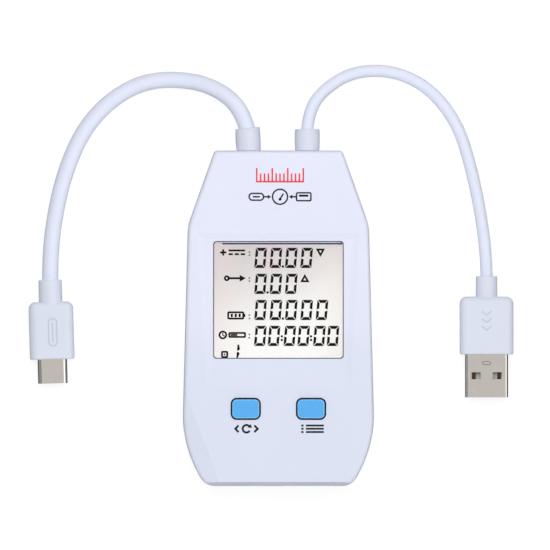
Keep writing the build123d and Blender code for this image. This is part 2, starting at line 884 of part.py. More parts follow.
def block_parts(name, places, size_x, size_y, height):
    """Several equal rectangular components on the board."""
    with BuildPart() as blocks:
        with BuildSketch(Plane.XY.offset(board_top)):
            with Locations(*places):
                Rectangle(size_x, size_y)
        extrude(amount=height)
        chamfer(blocks.faces().filter_by(Axis.Z).group_by(Axis.Z)[-1].edges(), block_chamfer)
    keep(blocks, name)


def power_inductor():
    """Round-cornered inductor of the internal supply."""
    with BuildPart() as inductor:
        with BuildSketch(Plane.XY.offset(board_top)):
            with Locations(inductor_place):
                RectangleRounded(inductor_side, inductor_side, inductor_corner)
        extrude(amount=inductor_height)
        fillet(inductor.faces().sort_by(Axis.Z)[-1].edges(), block_chamfer)
    keep(inductor, "power_inductor")


# ------------------------------------------------------------------ sockets
def socket_plane(x, height):
    """Plane on a socket's mouth: its normal points out of the bottom end."""
    return Plane(
        origin=(x, socket_mouth_y, board_top + height / 2),
        x_dir=(1, 0, 0),
        z_dir=(0, -1, 0),
    )


def usb_a_socket():
    """USB-A socket: sheet shell, insulator with its tongue, four contacts."""
    mouth = socket_plane(socket_a_x, socket_a_height)
    bore_width = socket_a_width - 2 * socket_a_sheet
    bore_height = socket_a_height - 2 * socket_a_sheet
    tongue_y = socket_a_height / 2 - socket_a_sheet - tongue_a_below_top - tongue_a_thickness / 2
    with BuildPart() as shell:
        with BuildSketch(mouth):
            Rectangle(socket_a_width, socket_a_height)
            Rectangle(bore_width, bore_height, mode=Mode.SUBTRACT)
        extrude(amount=-socket_a_length)
    keep(shell, "usb_a_socket_shell")

    with BuildPart() as tongue:
        with BuildSketch(mouth.offset(-socket_a_length)):
            Rectangle(bore_width, bore_height)
        extrude(amount=socket_a_block)
        with BuildSketch(mouth.offset(-socket_a_length)):
            with Locations((0, tongue_y)):
                Rectangle(tongue_a_width, tongue_a_thickness)
        extrude(amount=socket_a_length - tongue_a_back)
    keep(tongue, "usb_a_socket_tongue")

    with BuildPart() as contacts:
        with BuildSketch(mouth.offset(-socket_a_length + socket_a_block)):
            contact_y = tongue_y - tongue_a_thickness / 2 - contact_thickness / 2
            with Locations(*[(x, contact_y) for x in contact_a_xs]):
                Rectangle(contact_a_width, contact_thickness)
        extrude(amount=socket_a_length - socket_a_block - 2 * tongue_a_back)
    keep(contacts, "usb_a_socket_contacts")


def usb_c_socket():
    """Type-C socket: round-ended shell, insulator with its thin tongue, two rows of contacts."""
    mouth = socket_plane(socket_c_x, socket_c_height)
    bore_width = socket_c_width - 2 * socket_c_sheet
    bore_height = socket_c_height - 2 * socket_c_sheet
    with BuildPart() as shell:
        with BuildSketch(mouth):
            SlotOverall(socket_c_width, socket_c_height)
            SlotOverall(bore_width, bore_height, mode=Mode.SUBTRACT)
        extrude(amount=-socket_c_length)
    keep(shell, "usb_c_socket_shell")

    with BuildPart() as tongue:
        with BuildSketch(mouth.offset(-socket_c_length)):
            SlotOverall(bore_width, bore_height)
        extrude(amount=socket_c_block)
        with BuildSketch(mouth.offset(-socket_c_length)):
            Rectangle(tongue_c_width, tongue_c_thickness)
        extrude(amount=socket_c_length - tongue_c_back)
    keep(tongue, "usb_c_socket_tongue")

    contact_y = tongue_c_thickness / 2 + contact_c_thickness / 2
    with BuildPart() as contacts:
        with BuildSketch(mouth.offset(-socket_c_length + socket_c_block)):
            with Locations((0, contact_y), (0, -contact_y)):
                with GridLocations(contact_c_pitch, 1, contact_c_count, 1):
                    Rectangle(contact_c_width, contact_c_thickness)
        extrude(amount=socket_c_length - socket_c_block - 2 * tongue_c_back)
    keep(contacts, "usb_c_socket_contacts")


# ------------------------------------------------------------------ leads
def gland(name, x, route):
    """Moulded strain relief: flange inside the wall, neck through it, sleeve to the cord."""
    wall_point = Vector(x, half_length, gland_z)
    tip_point = Vector(*route[0])
    axis = (Vector(*route[1]) - tip_point).normalized()
    across = axis.cross(Vector(0, 0, 1))
    belly_point = wall_point + (tip_point - wall_point) * 0.5
    flange_y = inner_end - gland_flange_thickness
    inside = Plane(origin=(x, flange_y, gland_z), x_dir=(-1, 0, 0), z_dir=(0, 1, 0))
    with BuildPart() as sleeve:
        with BuildSketch(inside):
            Circle(gland_flange_radius)
        extrude(amount=gland_flange_thickness)
        with BuildSketch(inside):
            Circle(gland_neck_radius)
        extrude(amount=gland_flange_thickness + wall)
        with BuildSketch(Plane(origin=wall_point, x_dir=(1, 0, 0), z_dir=(0, 1, 0))):
            Circle(gland_root_radius)
        with BuildSketch(Plane(origin=belly_point, x_dir=across, z_dir=axis)):
            Circle(gland_belly_radius)
        with BuildSketch(Plane(origin=tip_point, x_dir=across, z_dir=axis)):
            Circle(gland_tip_radius)
        loft()
        tip = sleeve.faces().sort_by(Axis.Y)[-1]
        fillet(tip.edges(), gland_tip_round)
    keep(sleeve, name)


def corner_radii(route):
    """Bend radius at each inner point of a route: as large as its two runs allow."""
    points = [Vector(*point) for point in route]
    radii = []
    for before, here, after in zip(points, points[1:], points[2:]):
        run_in = here - before
        run_out = after - here
        half_turn = radians(run_in.get_angle(run_out)) / 2
        radii.append(bend_share * min(run_in.length, run_out.length) / tan(half_turn))
    return radii


def cord(name, route, diameter):
    """A lead: straight runs joined by tangent arcs, as one round tube."""
    radii = corner_radii(route)
    start = Vector(*route[0])
    heading = (Vector(*route[1]) - start).normalized()
    with BuildPart() as tube:
        with BuildLine() as path:
            FilletPolyline(*route, radius=radii)
        with BuildSketch(Plane(origin=start, z_dir=heading)):
            Circle(diameter / 2)
        sweep()
    length = path.wire().length
    ratio = tube.part.volume / (pi * diameter ** 2 / 4 * length)
    print(f"{name}: {length:.1f} mm long, volume over section times length {ratio:.4f}")
    print("  bend radii:", ", ".join(f"{radius:.1f}" for radius in radii))
    print(f"  tightest {min(radii) / diameter:.2f} diameters, limit {least_bend}")
    keep(tube, name)


def lead_wires(name, x, count):
    """Insulated wires from a gland down to the board."""
    start_y = inner_end - gland_flange_thickness
    lying_z = board_top + wire_radius
    with BuildPart() as wires:
        for index in range(count):
            side = index - (count - 1) / 2
            start_x = x + side * 2 * wire_spread
            route = [
                (start_x, start_y, gland_z),
                (start_x, start_y - wire_runs[0], gland_z),
                (start_x + side * wire_fan, start_y - wire_runs[1], lying_z),
                (start_x + side * wire_fan, start_y - wire_runs[2], lying_z),
            ]
            with BuildLine():
                FilletPolyline(*route, radius=wire_bend)
            with BuildSketch(Plane(origin=route[0], x_dir=(1, 0, 0), z_dir=(0, -1, 0))):
                Circle(wire_radius)
            sweep()
    keep(wires, name)


# ------------------------------------------------------------------ plugs
def plug_plane(route, turn):
    """Plane at a cord's end: X across the plug, Z towards its metal shell."""
    angle = radians(turn)
    return Plane(origin=route[-1], x_dir=(cos(angle), sin(angle), 0), z_dir=(sin(angle), -cos(angle), 0))


def plug_sleeve(name, plane, length, tip_radius, root_radius):
    """Strain relief between the cord and the grip that it is rooted in."""
    with BuildPart() as sleeve:
        with BuildSketch(plane):
            Circle(tip_radius)
        with BuildSketch(plane.offset(length)):
            Circle(root_radius)
        loft()
        with BuildSketch(plane.offset(length)):
            Circle(root_radius)
        extrude(amount=sleeve_root_depth)
        fillet(sleeve.edges().filter_by(GeomType.CIRCLE).sort_by(SortBy.LENGTH)[0], sleeve_tip_round)
    keep(sleeve, name)


def plug_body(name, plane, size, radii, root_radius, pocket):
    """Moulded grip of a plug, with pockets for the sleeve's root and the metal shell's."""
    width, thickness, length = size
    round_radius, end_radius = radii
    with BuildPart() as body:
        with BuildSketch(plane):
            RectangleRounded(width, thickness, round_radius)
        extrude(amount=length)
        ends = body.faces().filter_by(GeomType.PLANE).sort_by(lambda f: plane.to_local_coords(f.center()).Z)
        fillet(ends[0].edges(), end_radius)
        ends = body.faces().filter_by(GeomType.PLANE).sort_by(lambda f: plane.to_local_coords(f.center()).Z)
        fillet(ends[-1].edges(), body_shell_end_radius)
        with BuildSketch(plane):
            Circle(root_radius)
        extrude(amount=sleeve_root_depth, mode=Mode.SUBTRACT)
        with BuildSketch(plane.offset(length)):
            add(pocket)
        extrude(amount=-plug_root_depth, mode=Mode.SUBTRACT)
    keep(body, name)


def usb_a_profile(inset=0.0):
    """Section of the USB-A plug's shell."""
    with BuildSketch() as profile:
        RectangleRounded(
            usb_a_shell_width - 2 * inset,
            usb_a_shell_height - 2 * inset,
            usb_a_shell_radius - inset,
        )
    return profile.sketch


def type_c_profile(inset=0.0):
    """Section of the Type-C plug's shell."""
    with BuildSketch() as profile:
        SlotOverall(type_c_shell_width - 2 * inset, type_c_shell_height - 2 * inset)
    return profile.sketch


def usb_a_plug():
    """USB-A plug: sleeve, overmould, windowed shell, insert and four contacts."""
    plane = plug_plane(usb_a_route, usb_a_plug_turn)
    body_start = plane.offset(usb_a_sleeve_length)
    body_end = body_start.offset(usb_a_body_length)
    root = body_end.offset(-plug_root_depth)
    plug_sleeve("usb_a_plug_sleeve", plane, usb_a_sleeve_length, usb_a_sleeve_tip, usb_a_sleeve_root)
    size = (usb_a_body_width, usb_a_body_thickness, usb_a_body_length)
    radii = (usb_a_body_radius, usb_a_body_end_radius)
    plug_body("usb_a_plug_body", body_start, size, radii, usb_a_sleeve_root, usb_a_profile())

    full_length = plug_root_depth + usb_a_shell_length
    with BuildPart() as shell:
        with BuildSketch(root):
            add(usb_a_profile())
            add(usb_a_profile(usb_a_shell_sheet), mode=Mode.SUBTRACT)
        extrude(amount=full_length)
        top = Plane(origin=root.origin, x_dir=root.x_dir, z_dir=root.y_dir)
        window_y = -(plug_root_depth + usb_a_window_from_body)
        with BuildSketch(top):
            with Locations((-usb_a_window_spread / 2, window_y), (usb_a_window_spread / 2, window_y)):
                Rectangle(usb_a_window_width, usb_a_window_length)
        extrude(amount=usb_a_shell_height, both=True, mode=Mode.SUBTRACT)
        dimple_y = -(plug_root_depth + shell_dimple_from_body)
        for depth in (0, shell_dimple_depth):
            with BuildSketch(top.offset(usb_a_shell_height / 2 - depth)):
                with Locations((0, dimple_y)):
                    SlotOverall(shell_dimple_width - 2 * depth, shell_dimple_length - 2 * depth)
        loft(mode=Mode.SUBTRACT)
    keep(shell, "usb_a_plug_shell")

    inner_width = usb_a_shell_width - 2 * usb_a_shell_sheet
    inner_height = usb_a_shell_height - 2 * usb_a_shell_sheet
    insert_y = -inner_height / 2 + usb_a_insert_height / 2
    with BuildPart() as insert:
        with BuildSketch(root):
            add(usb_a_profile(usb_a_shell_sheet))
            with Locations((0, insert_y)):
                Rectangle(inner_width, usb_a_insert_height, mode=Mode.INTERSECT)
        extrude(amount=full_length - usb_a_insert_short)
    keep(insert, "usb_a_plug_insert")

    with BuildPart() as contacts:
        with BuildSketch(root):
            contact_y = insert_y + usb_a_insert_height / 2 + contact_thickness / 2
            with Locations(*[(x, contact_y) for x in contact_a_xs]):
                Rectangle(contact_a_width, contact_thickness)
        extrude(amount=full_length - contact_a_back)
    keep(contacts, "usb_a_plug_contacts")


def type_c_plug():
    """Type-C plug: sleeve, overmould, seamless shell, hollow insert and two rows of contacts."""
    plane = plug_plane(type_c_route, type_c_plug_turn)
    body_start = plane.offset(type_c_sleeve_length)
    body_end = body_start.offset(type_c_body_length)
    root = body_end.offset(-plug_root_depth)
    plug_sleeve("type_c_plug_sleeve", plane, type_c_sleeve_length, type_c_sleeve_tip, type_c_sleeve_root)
    size = (type_c_body_width, type_c_body_thickness, type_c_body_length)
    radii = (type_c_body_radius, type_c_body_end_radius)
    plug_body("type_c_plug_body", body_start, size, radii, type_c_sleeve_root, type_c_profile())

    full_length = plug_root_depth + type_c_shell_length
    with BuildPart() as shell:
        with BuildSketch(root):
            add(type_c_profile())
            add(type_c_profile(type_c_shell_sheet), mode=Mode.SUBTRACT)
        extrude(amount=full_length)
        lip = [edge for edge in shell.edges() if abs(plane_depth(root, edge @ 0) - full_length) < 0.01]
        outer = [edge for edge in lip if plane_reach(root, edge @ 0.5) > type_c_shell_height / 2 - 0.1]
        fillet(outer, type_c_shell_round)
    keep(shell, "type_c_plug_shell")

    with BuildPart() as insert:
        with BuildSketch(root):
            add(type_c_profile(type_c_shell_sheet))
        extrude(amount=full_length - type_c_insert_short)
        with BuildSketch(root.offset(full_length - type_c_insert_short)):
            Rectangle(type_c_cavity_width, type_c_cavity_height)
        extrude(amount=-type_c_cavity_depth, mode=Mode.SUBTRACT)
    keep(insert, "type_c_plug_insert")

    contact_y = type_c_cavity_height / 2 - contact_c_thickness / 2
    with BuildPart() as contacts:
        with BuildSketch(root.offset(full_length - type_c_insert_short - type_c_cavity_depth)):
            with Locations((0, contact_y), (0, -contact_y)):
                with GridLocations(contact_c_pitch, 1, contact_c_count, 1):
                    Rectangle(contact_c_width, contact_c_thickness)
        extrude(amount=type_c_cavity_depth - contact_c_back)
    keep(contacts, "type_c_plug_contacts")


def plane_depth(plane, point):
    """Distance of a point in front of a plane."""
    return plane.to_local_coords(point).Z


def plane_reach(plane, point):
    """How near the outside of the plug's slot-shaped section a point lies."""
    local = plane.to_local_coords(point)
    return abs(local.Y) + max(0, abs(local.X) - type_c_shell_width / 2 + type_c_shell_height / 2)


# ------------------------------------------------------------------ the whole meter
front_cover()
rear_cover()
case_screws()

display_window()
plate("lcd_front_polariser", polariser_top - polariser_thickness, polariser_thickness,
      opening_width + 2 * polariser_margin, opening_height + 2 * polariser_margin)
plate("lcd_front_glass", cell_top, glass_thickness, glass_width, front_glass_height, front_glass_y)
lcd_cell_seal()
lcd_segments()
plate("lcd_rear_glass", rear_glass_bottom, glass_thickness, glass_width, glass_height)
plate("lcd_rear_polariser", rear_polariser_top - polariser_thickness, polariser_thickness,
      opening_width + 2 * polariser_margin, opening_height + 2 * polariser_margin)
plate("light_guide", guide_bottom, guide_thickness, glass_width, glass_height)
backlight_leds()
lcd_holder()
zebra_strip()

key("mode_button", -button_x)
key("read_button", button_x)
switch_body("mode_switch_body", -button_x)
switch_body("read_switch_body", button_x)
switch_plunger("mode_switch_plunger", -button_x)
switch_plunger("read_switch_plunger", button_x)
switch_leads()

main_board()
chip("controller_chip", *controller_place, controller_side, controller_side, chip_height)
chip_leads("controller_leads", *controller_place, controller_side, controller_side,
           controller_lead_count, controller_lead_count, controller_lead_pitch)
chip("protocol_chip", *protocol_place, protocol_length, protocol_width, chip_height)
chip_leads("protocol_leads", *protocol_place, protocol_length, protocol_width,
           protocol_lead_count, 0, protocol_lead_pitch)
block_parts("current_shunts", shunt_places, shunt_length, shunt_width, shunt_height)
block_parts("ceramic_capacitors", capacitor_places, capacitor_length, capacitor_width, capacitor_height)
block_parts("crystal", [crystal_place], crystal_length, crystal_width, crystal_height)
power_inductor()

usb_a_socket()
usb_c_socket()

gland("type_c_gland", type_c_gland_x, type_c_route)
gland("usb_a_gland", usb_a_gland_x, usb_a_route)
lead_wires("type_c_lead_wires", type_c_gland_x, 3)
lead_wires("usb_a_lead_wires", usb_a_gland_x, 2)
cord("type_c_cord", type_c_route, type_c_cord_diameter)
cord("usb_a_cord", usb_a_route, usb_a_cord_diameter)
type_c_plug()
usb_a_plug()
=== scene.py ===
"""Looks of the in-line USB power meter: camera, leads, light, materials and printed marks.

Lengths are written in millimetres and turned into metres with MM. Colours are written as sRGB
numbers out of 255 and made linear by shade().
"""
from math import cos, radians, sin

import bmesh
import bpy
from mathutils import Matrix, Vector


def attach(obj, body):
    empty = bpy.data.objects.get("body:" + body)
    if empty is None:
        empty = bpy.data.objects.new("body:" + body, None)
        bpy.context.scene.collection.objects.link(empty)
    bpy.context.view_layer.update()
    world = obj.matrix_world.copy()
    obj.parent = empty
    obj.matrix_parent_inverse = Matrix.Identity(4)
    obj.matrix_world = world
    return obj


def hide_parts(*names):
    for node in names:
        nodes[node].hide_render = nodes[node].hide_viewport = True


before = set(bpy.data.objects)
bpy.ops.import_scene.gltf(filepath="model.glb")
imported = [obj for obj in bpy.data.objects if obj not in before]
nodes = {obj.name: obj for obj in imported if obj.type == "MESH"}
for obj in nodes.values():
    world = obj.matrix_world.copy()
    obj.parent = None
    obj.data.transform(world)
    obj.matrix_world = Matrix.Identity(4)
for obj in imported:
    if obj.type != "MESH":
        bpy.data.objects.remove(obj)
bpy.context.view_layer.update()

MM = 0.001
scene = bpy.context.scene

# ------------------------------------------------------------------ camera
CAMERA_DISTANCE = 4.0        # metres above the case's parting line
PARTING_Z = 8.7
VIEW_WIDTH = 153.6           # what the frame spans there
VIEW_CENTRE = (-0.95, 12.1)
SENSOR_WIDTH = 36.0

camera_data = bpy.data.cameras.new("camera")
camera_data.sensor_width = SENSOR_WIDTH
camera_data.lens = SENSOR_WIDTH * CAMERA_DISTANCE / (VIEW_WIDTH * MM)
camera_data.clip_start = 0.1
camera_data.clip_end = 20.0
camera = bpy.data.objects.new("camera", camera_data)
camera.location = (VIEW_CENTRE[0] * MM, VIEW_CENTRE[1] * MM, PARTING_Z * MM + CAMERA_DISTANCE)
scene.collection.objects.link(camera)
scene.camera = camera
scene.view_settings.view_transform = "Standard"
scene.cycles.transparent_max_bounces = 24    # the display is a stack of clear sheets

# ------------------------------------------------------------------ leads
TYPE_C_CORD_DIAMETER = 4.5
USB_A_CORD_DIAMETER = 3.4
TYPE_C_ROUTE = [
    (-8.5, 52.1, 8.7), (-9.85, 57.25, 8.7), (-14.9, 62.95, 7.0), (-23.6, 66.6, 4.0),
    (-36.4, 66.75, 2.3), (-46.65, 61.5, 2.3), (-54.65, 52.7, 2.3), (-59.95, 40.3, 2.3),
    (-62.8, 27.3, 2.4), (-63.85, 16.8, 3.5), (-63.8, 10.7, 3.5),
]
USB_A_ROUTE = [
    (8.05, 52.3, 8.7), (8.4, 57.65, 8.6), (12.6, 63.95, 6.6), (21.15, 69.15, 3.0),
    (32.4, 69.3, 1.7), (42.5, 64.3, 1.7), (50.15, 54.5, 1.7), (54.0, 41.95, 1.7),
    (56.6, 29.3, 1.9), (58.1, 17.8, 3.9), (58.2, 11.8, 4.0),
]
STEPS_ALONG = 24
STEPS_ROUND = 10


def lead(name, node, route, diameter):
    """A lead as one smooth curve with its CAD plug on it."""
    curve = bpy.data.curves.new(name, "CURVE")
    curve.dimensions = "3D"
    spline = curve.splines.new("NURBS")
    spline.points.add(len(route) - 1)
    for point, (x, y, z) in zip(spline.points, route):
        point.co = (x * MM, y * MM, z * MM, 1.0)
        point.radius = diameter / 2 * MM         # times a bevel of 1: keeps the curve's box tight
    spline.order_u = 3
    spline.use_endpoint_u = True
    spline.resolution_u = STEPS_ALONG
    curve.bevel_depth = 1.0
    curve.bevel_resolution = STEPS_ROUND
    curve.use_fill_caps = True
    piece = bpy.data.objects.new(name, curve)
    scene.collection.objects.link(piece)
    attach(piece, "meter")
    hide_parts(node)
    return piece


type_c_lead = lead(
    "type_c_lead", "type_c_cord", TYPE_C_ROUTE, TYPE_C_CORD_DIAMETER
)
usb_a_lead = lead(
    "usb_a_lead", "usb_a_cord", USB_A_ROUTE, USB_A_CORD_DIAMETER
)


# ------------------------------------------------------------------ material helpers
def linear(value):
    """One sRGB number out of 255 as a linear one."""
    value /= 255
    return value / 12.92 if value <= 0.04045 else ((value + 0.055) / 1.055) ** 2.4


def shade(red, green, blue):
    """An sRGB colour as linear RGBA."""
    return (linear(red), linear(green), linear(blue), 1.0)


class Look:
    """One node material under construction, in object coordinates."""

    def __init__(self, name):
        self.material = bpy.data.materials.new(name)
        self.material.use_nodes = True
        self.tree = self.material.node_tree
        self.tree.nodes.clear()
        self.output = self.node("ShaderNodeOutputMaterial")
        self.place = self.node("ShaderNodeTexCoord").outputs["Object"]

    def node(self, kind, **values):
        """Add a node and set its plain properties."""
        made = self.tree.nodes.new(kind)
        for key, value in values.items():
            setattr(made, key, value)
        return made

    def join(self, source, target):
        """Link a socket, or write a constant, into an input."""
        if isinstance(source, bpy.types.NodeSocket):
            self.tree.links.new(source, target)
        else:
            target.default_value = source

    def stretched(self, factors):
        """Object coordinates scaled apart along each axis."""
        mapping = self.node("ShaderNodeMapping")
        mapping.inputs["Scale"].default_value = factors
        self.join(self.place, mapping.inputs["Vector"])
        return mapping.outputs["Vector"]

    def noise(self, size, detail=3.0, roughness=0.5, factors=None):
        """Noise whose blobs are about size millimetres across."""
        texture = self.node("ShaderNodeTexNoise")
        texture.inputs["Scale"].default_value = 1 / (size * MM)
        texture.inputs["Detail"].default_value = detail
        texture.inputs["Roughness"].default_value = roughness
        self.join(self.stretched(factors) if factors else self.place, texture.inputs["Vector"])
        return texture.outputs["Fac"]

    def cells(self, size):
        """Cell noise, for grains and specks."""
        texture = self.node("ShaderNodeTexVoronoi")
        texture.inputs["Scale"].default_value = 1 / (size * MM)
        self.join(self.place, texture.inputs["Vector"])
        return texture.outputs["Distance"]

    def span(self, value, low, high, to_low=0.0, to_high=1.0):
        """Map a value smoothly from one range to another."""
        ranged = self.node("ShaderNodeMapRange", interpolation_type="SMOOTHSTEP")
        self.join(value, ranged.inputs["Value"])
        for key, number in (
            ("From Min", low), ("From Max", high), ("To Min", to_low), ("To Max", to_high),
        ):
            ranged.inputs[key].default_value = number
        return ranged.outputs["Result"]

    def sum(self, operation, first, second):
        """One arithmetic step."""
        step = self.node("ShaderNodeMath", operation=operation)
        self.join(first, step.inputs[0])
        self.join(second, step.inputs[1])
        return step.outputs["Value"]

    def blend(self, factor, first, second):
        """Mix two colours."""
        mixer = self.node("ShaderNodeMix", data_type="RGBA")
        self.join(factor, mixer.inputs[0])
        self.join(first, mixer.inputs[6])
        self.join(second, mixer.inputs[7])
        return mixer.outputs[2]

    def along(self, axis):
        """One coordinate, in millimetres."""
        parts = self.node("ShaderNodeSeparateXYZ")
        self.join(self.place, parts.inputs["Vector"])
        return self.sum("DIVIDE", parts.outputs[axis], MM)

    def relief(self, height, depth, strength=1.0):
        """A bump of that many millimetres from a 0 to 1 height."""
        bump = self.node("ShaderNodeBump")
        bump.inputs["Distance"].default_value = depth * MM
        bump.inputs["Strength"].default_value = strength
        self.join(height, bump.inputs["Height"])
        return bump.outputs["Normal"]

    def principled(self, colour, roughness, normal=None, **constants):
        """The surface shader; constants are set on its own sockets."""
        shader = self.node("ShaderNodeBsdfPrincipled")
        self.join(colour, shader.inputs["Base Color"])
        self.join(roughness, shader.inputs["Roughness"])
        if normal is not None:
            self.join(normal, shader.inputs["Normal"])
        for key, value in constants.items():
            shader.inputs[key.replace("_", " ")].default_value = value
        return shader.outputs["BSDF"]

    def finish(self, surface):
        """Use the shader and hand the material over."""
        self.join(surface, self.output.inputs["Surface"])
        return self.material


def toned(colour, factor):
    """A colour made lighter or darker."""
    return tuple(min(1.0, value * factor) for value in colour[:3]) + (1.0,)


# ------------------------------------------------------------------ plastics
# Painted shade: the case is coloured darker towards the keys, where less light falls, and lighter towards
# the leads.
CASE_SHADED_AT_KEYS = shade(224, 230, 246)
CASE_LIT_AT_LEADS = shade(230, 233, 250)
KEYS_END_Y, DISPLAY_MIDDLE_Y = -16.0, 4.0     # the case's colour darkens towards the keys between these: painted shade
SEAM_CORE, SEAM_EDGE = 0.06, 0.16
SEAM_DEPTH = 0.12
KEY_BLUE = shade(85, 175, 242)
# painted highlight along the key's round edge
KEY_HIGHLIGHT_BLUE = shade(158, 222, 252)
# painted shade down the key's flank, for the shadow in the gap round the key
KEY_SHADE_BLUE = shade(12, 38, 86)
KEY_RIM_Z = 18.25                             # the round edge of a key at rest
KEY_SHADE_Z = (18.14, 18.21)


def moulded(name, colour, roughness=0.45, grain=0.14, depth=0.006, uneven=0.03, **constants):
    """Moulded plastic with a fine spark-eroded grain and faint flow clouds."""
    look = Look(name)
    clouds = look.noise(14.0, detail=2.0)
    specks = look.noise(grain, detail=4.0, roughness=0.65)
    cloudy = look.blend(clouds, toned(colour, 1 - uneven), toned(colour, 1 + uneven))
    speckled = look.blend(
        look.span(specks, 0.35, 0.75, 0.0, 0.35), cloudy, toned(colour, 1 - 2 * uneven)
    )
    gloss = look.span(look.noise(3.0), 0.3, 0.7, roughness - 0.05, roughness + 0.07)
    surface = look.principled(speckled, gloss, look.relief(specks, depth, 0.6), **constants)
    return look.finish(surface)


def case_plastic():
    """Case plastic: fine grain, the fine dark line where the two covers meet, and painted shade that
    darkens it towards the keys.
    """
    look = Look("case_plastic")
    # painted shade: the colour darkens from the lead end towards the keys
    towards_lit_end = look.span(look.along("Y"), KEYS_END_Y, DISPLAY_MIDDLE_Y)
    colour = look.blend(towards_lit_end, CASE_SHADED_AT_KEYS, CASE_LIT_AT_LEADS)
    clouds = look.noise(22.0, detail=2.0)
    specks = look.noise(0.16, detail=4.0, roughness=0.7)
    cloudy = look.blend(look.span(clouds, 0.2, 0.8, 0.0, 0.1), colour, shade(205, 210, 228))
    speckled = look.blend(look.span(specks, 0.4, 0.75, 0.0, 0.06), cloudy, shade(160, 164, 182))
    height = look.along("Z")
    from_seam = look.sum("ABSOLUTE", look.sum("SUBTRACT", height, PARTING_Z), 0.0)
    seam = look.span(from_seam, SEAM_CORE, SEAM_EDGE, 1.0, 0.0)
    seamed = look.blend(seam, speckled, shade(96, 98, 108))
    gloss = look.span(look.noise(4.0), 0.3, 0.7, 0.40, 0.50)
    grain = look.relief(specks, 0.006, 0.55)
    groove = look.node("ShaderNodeBump")
    groove.invert = True
    groove.inputs["Distance"].default_value = SEAM_DEPTH * MM
    look.join(seam, groove.inputs["Height"])
    look.join(grain, groove.inputs["Normal"])
    surface = look.principled(seamed, gloss, groove.outputs["Normal"])
    return look.finish(surface)


def key_plastic():
    """Blue key: fine grain, a painted highlight along its round edge, and painted shade down its flank."""
    look = Look("key_plastic")
    specks = look.noise(0.12, detail=4.0, roughness=0.65)
    clouds = look.noise(2.6, detail=2.0)
    cloudy = look.blend(clouds, toned(KEY_BLUE, 0.95), toned(KEY_BLUE, 1.05))
    height = look.along("Z")
    from_rim = look.sum("ABSOLUTE", look.sum("SUBTRACT", height, KEY_RIM_Z), 0.0)
    # painted highlight: lighter blue where the round edge would catch the light
    highlighted = look.blend(look.span(from_rim, 0.02, 0.04, 1.0, 0.0), cloudy, KEY_HIGHLIGHT_BLUE)
    # painted shade: deep blue below a height on the flank, for the shadow in the gap round the key
    shade_share = look.span(height, *KEY_SHADE_Z, 1.0, 0.0)
    shaded = look.blend(shade_share, highlighted, KEY_SHADE_BLUE)
    gloss = look.span(clouds, 0.3, 0.7, 0.30, 0.40)
    surface = look.principled(shaded, gloss, look.relief(specks, 0.004, 0.5))
    return look.finish(surface)


def jacket(name, colour, roughness):
    """Soft cord jacket: faint drawn lines and a slow waviness."""
    look = Look(name)
    slow = look.noise(5.0, detail=2.0)
    fine = look.noise(0.25, detail=3.0, roughness=0.6)
    body = look.blend(slow, toned(colour, 0.975), toned(colour, 1.02))
    speckled = look.blend(look.span(fine, 0.45, 0.8, 0.0, 0.3), body, toned(colour, 0.93))
    gloss = look.span(slow, 0.3, 0.7, roughness - 0.05, roughness + 0.05)
    surface = look.principled(
        speckled, gloss, look.relief(fine, 0.008, 0.5),
        Subsurface_Weight=0.08, Subsurface_Scale=0.001,
    )
    return look.finish(surface)


# ------------------------------------------------------------------ metals
def sheet_metal(name, colour, roughness, grain_factors=(1.0, 0.06, 1.0), tarnish=0.10):
    """Plated sheet: rolled lines along one direction, faint smudges and pits."""
    look = Look(name)
    lines = look.noise(0.10, detail=3.0, roughness=0.7, factors=grain_factors)
    smudges = look.noise(2.4, detail=4.0, roughness=0.6)
    pits = look.cells(0.35)
    worn = look.blend(smudges, toned(colour, 1 - tarnish), toned(colour, 1 + tarnish / 2))
    lined = look.blend(look.span(lines, 0.35, 0.65, 0.0, 0.35), worn, toned(colour, 0.86))
    gloss = look.span(smudges, 0.3, 0.7, roughness - 0.05, roughness + 0.10)
    height = look.sum("ADD", lines, look.span(pits, 0.0, 0.25, 0.0, 0.4))
    surface = look.principled(lined, gloss, look.relief(height, 0.004, 0.5), Metallic=1.0)
    return look.finish(surface)


def solder(name):
    """Tinned terminals: bright, lumpy, dulled in patches."""
    look = Look(name)
    lumps = look.noise(0.5, detail=3.0)
    colour = look.blend(lumps, shade(160, 162, 166), shade(214, 215, 218))
    gloss = look.span(lumps, 0.3, 0.7, 0.22, 0.45)
    return look.finish(look.principled(colour, gloss, look.relief(lumps, 0.03, 0.5), Metallic=1.0))


# ------------------------------------------------------------------ display
def clear_sheet(name, tint, mirror, dust=0.03):
    """Thin clear sheet: see-through, with a weak reflection and a trace of dust."""
    look = Look(name)
    specks = look.noise(0.9, detail=5.0, roughness=0.7)
    see = look.node("ShaderNodeBsdfTransparent")
    see.inputs["Color"].default_value = tint
    gloss = look.node("ShaderNodeBsdfPrincipled")
    gloss.inputs["Base Color"].default_value = shade(236, 238, 242)
    look.join(look.span(specks, 0.3, 0.7, 0.04, 0.14), gloss.inputs["Roughness"])
    share = look.span(specks, 0.45, 0.8, mirror, mirror + dust)
    mixer = look.node("ShaderNodeMixShader")
    look.join(share, mixer.inputs[0])
    look.join(see.outputs["BSDF"], mixer.inputs[1])
    look.join(gloss.outputs["BSDF"], mixer.inputs[2])
    return look.finish(mixer.outputs["Shader"])


LCD_CREAM = shade(255, 252, 248)
LCD_GREY = shade(211, 203, 202)
# painted light: the ground glows, which evens out the shade the window's recess casts on it
LCD_PAINTED_GLOW = 0.93
LCD_DULL = 0.84               # how much darker the ground itself is than its glow


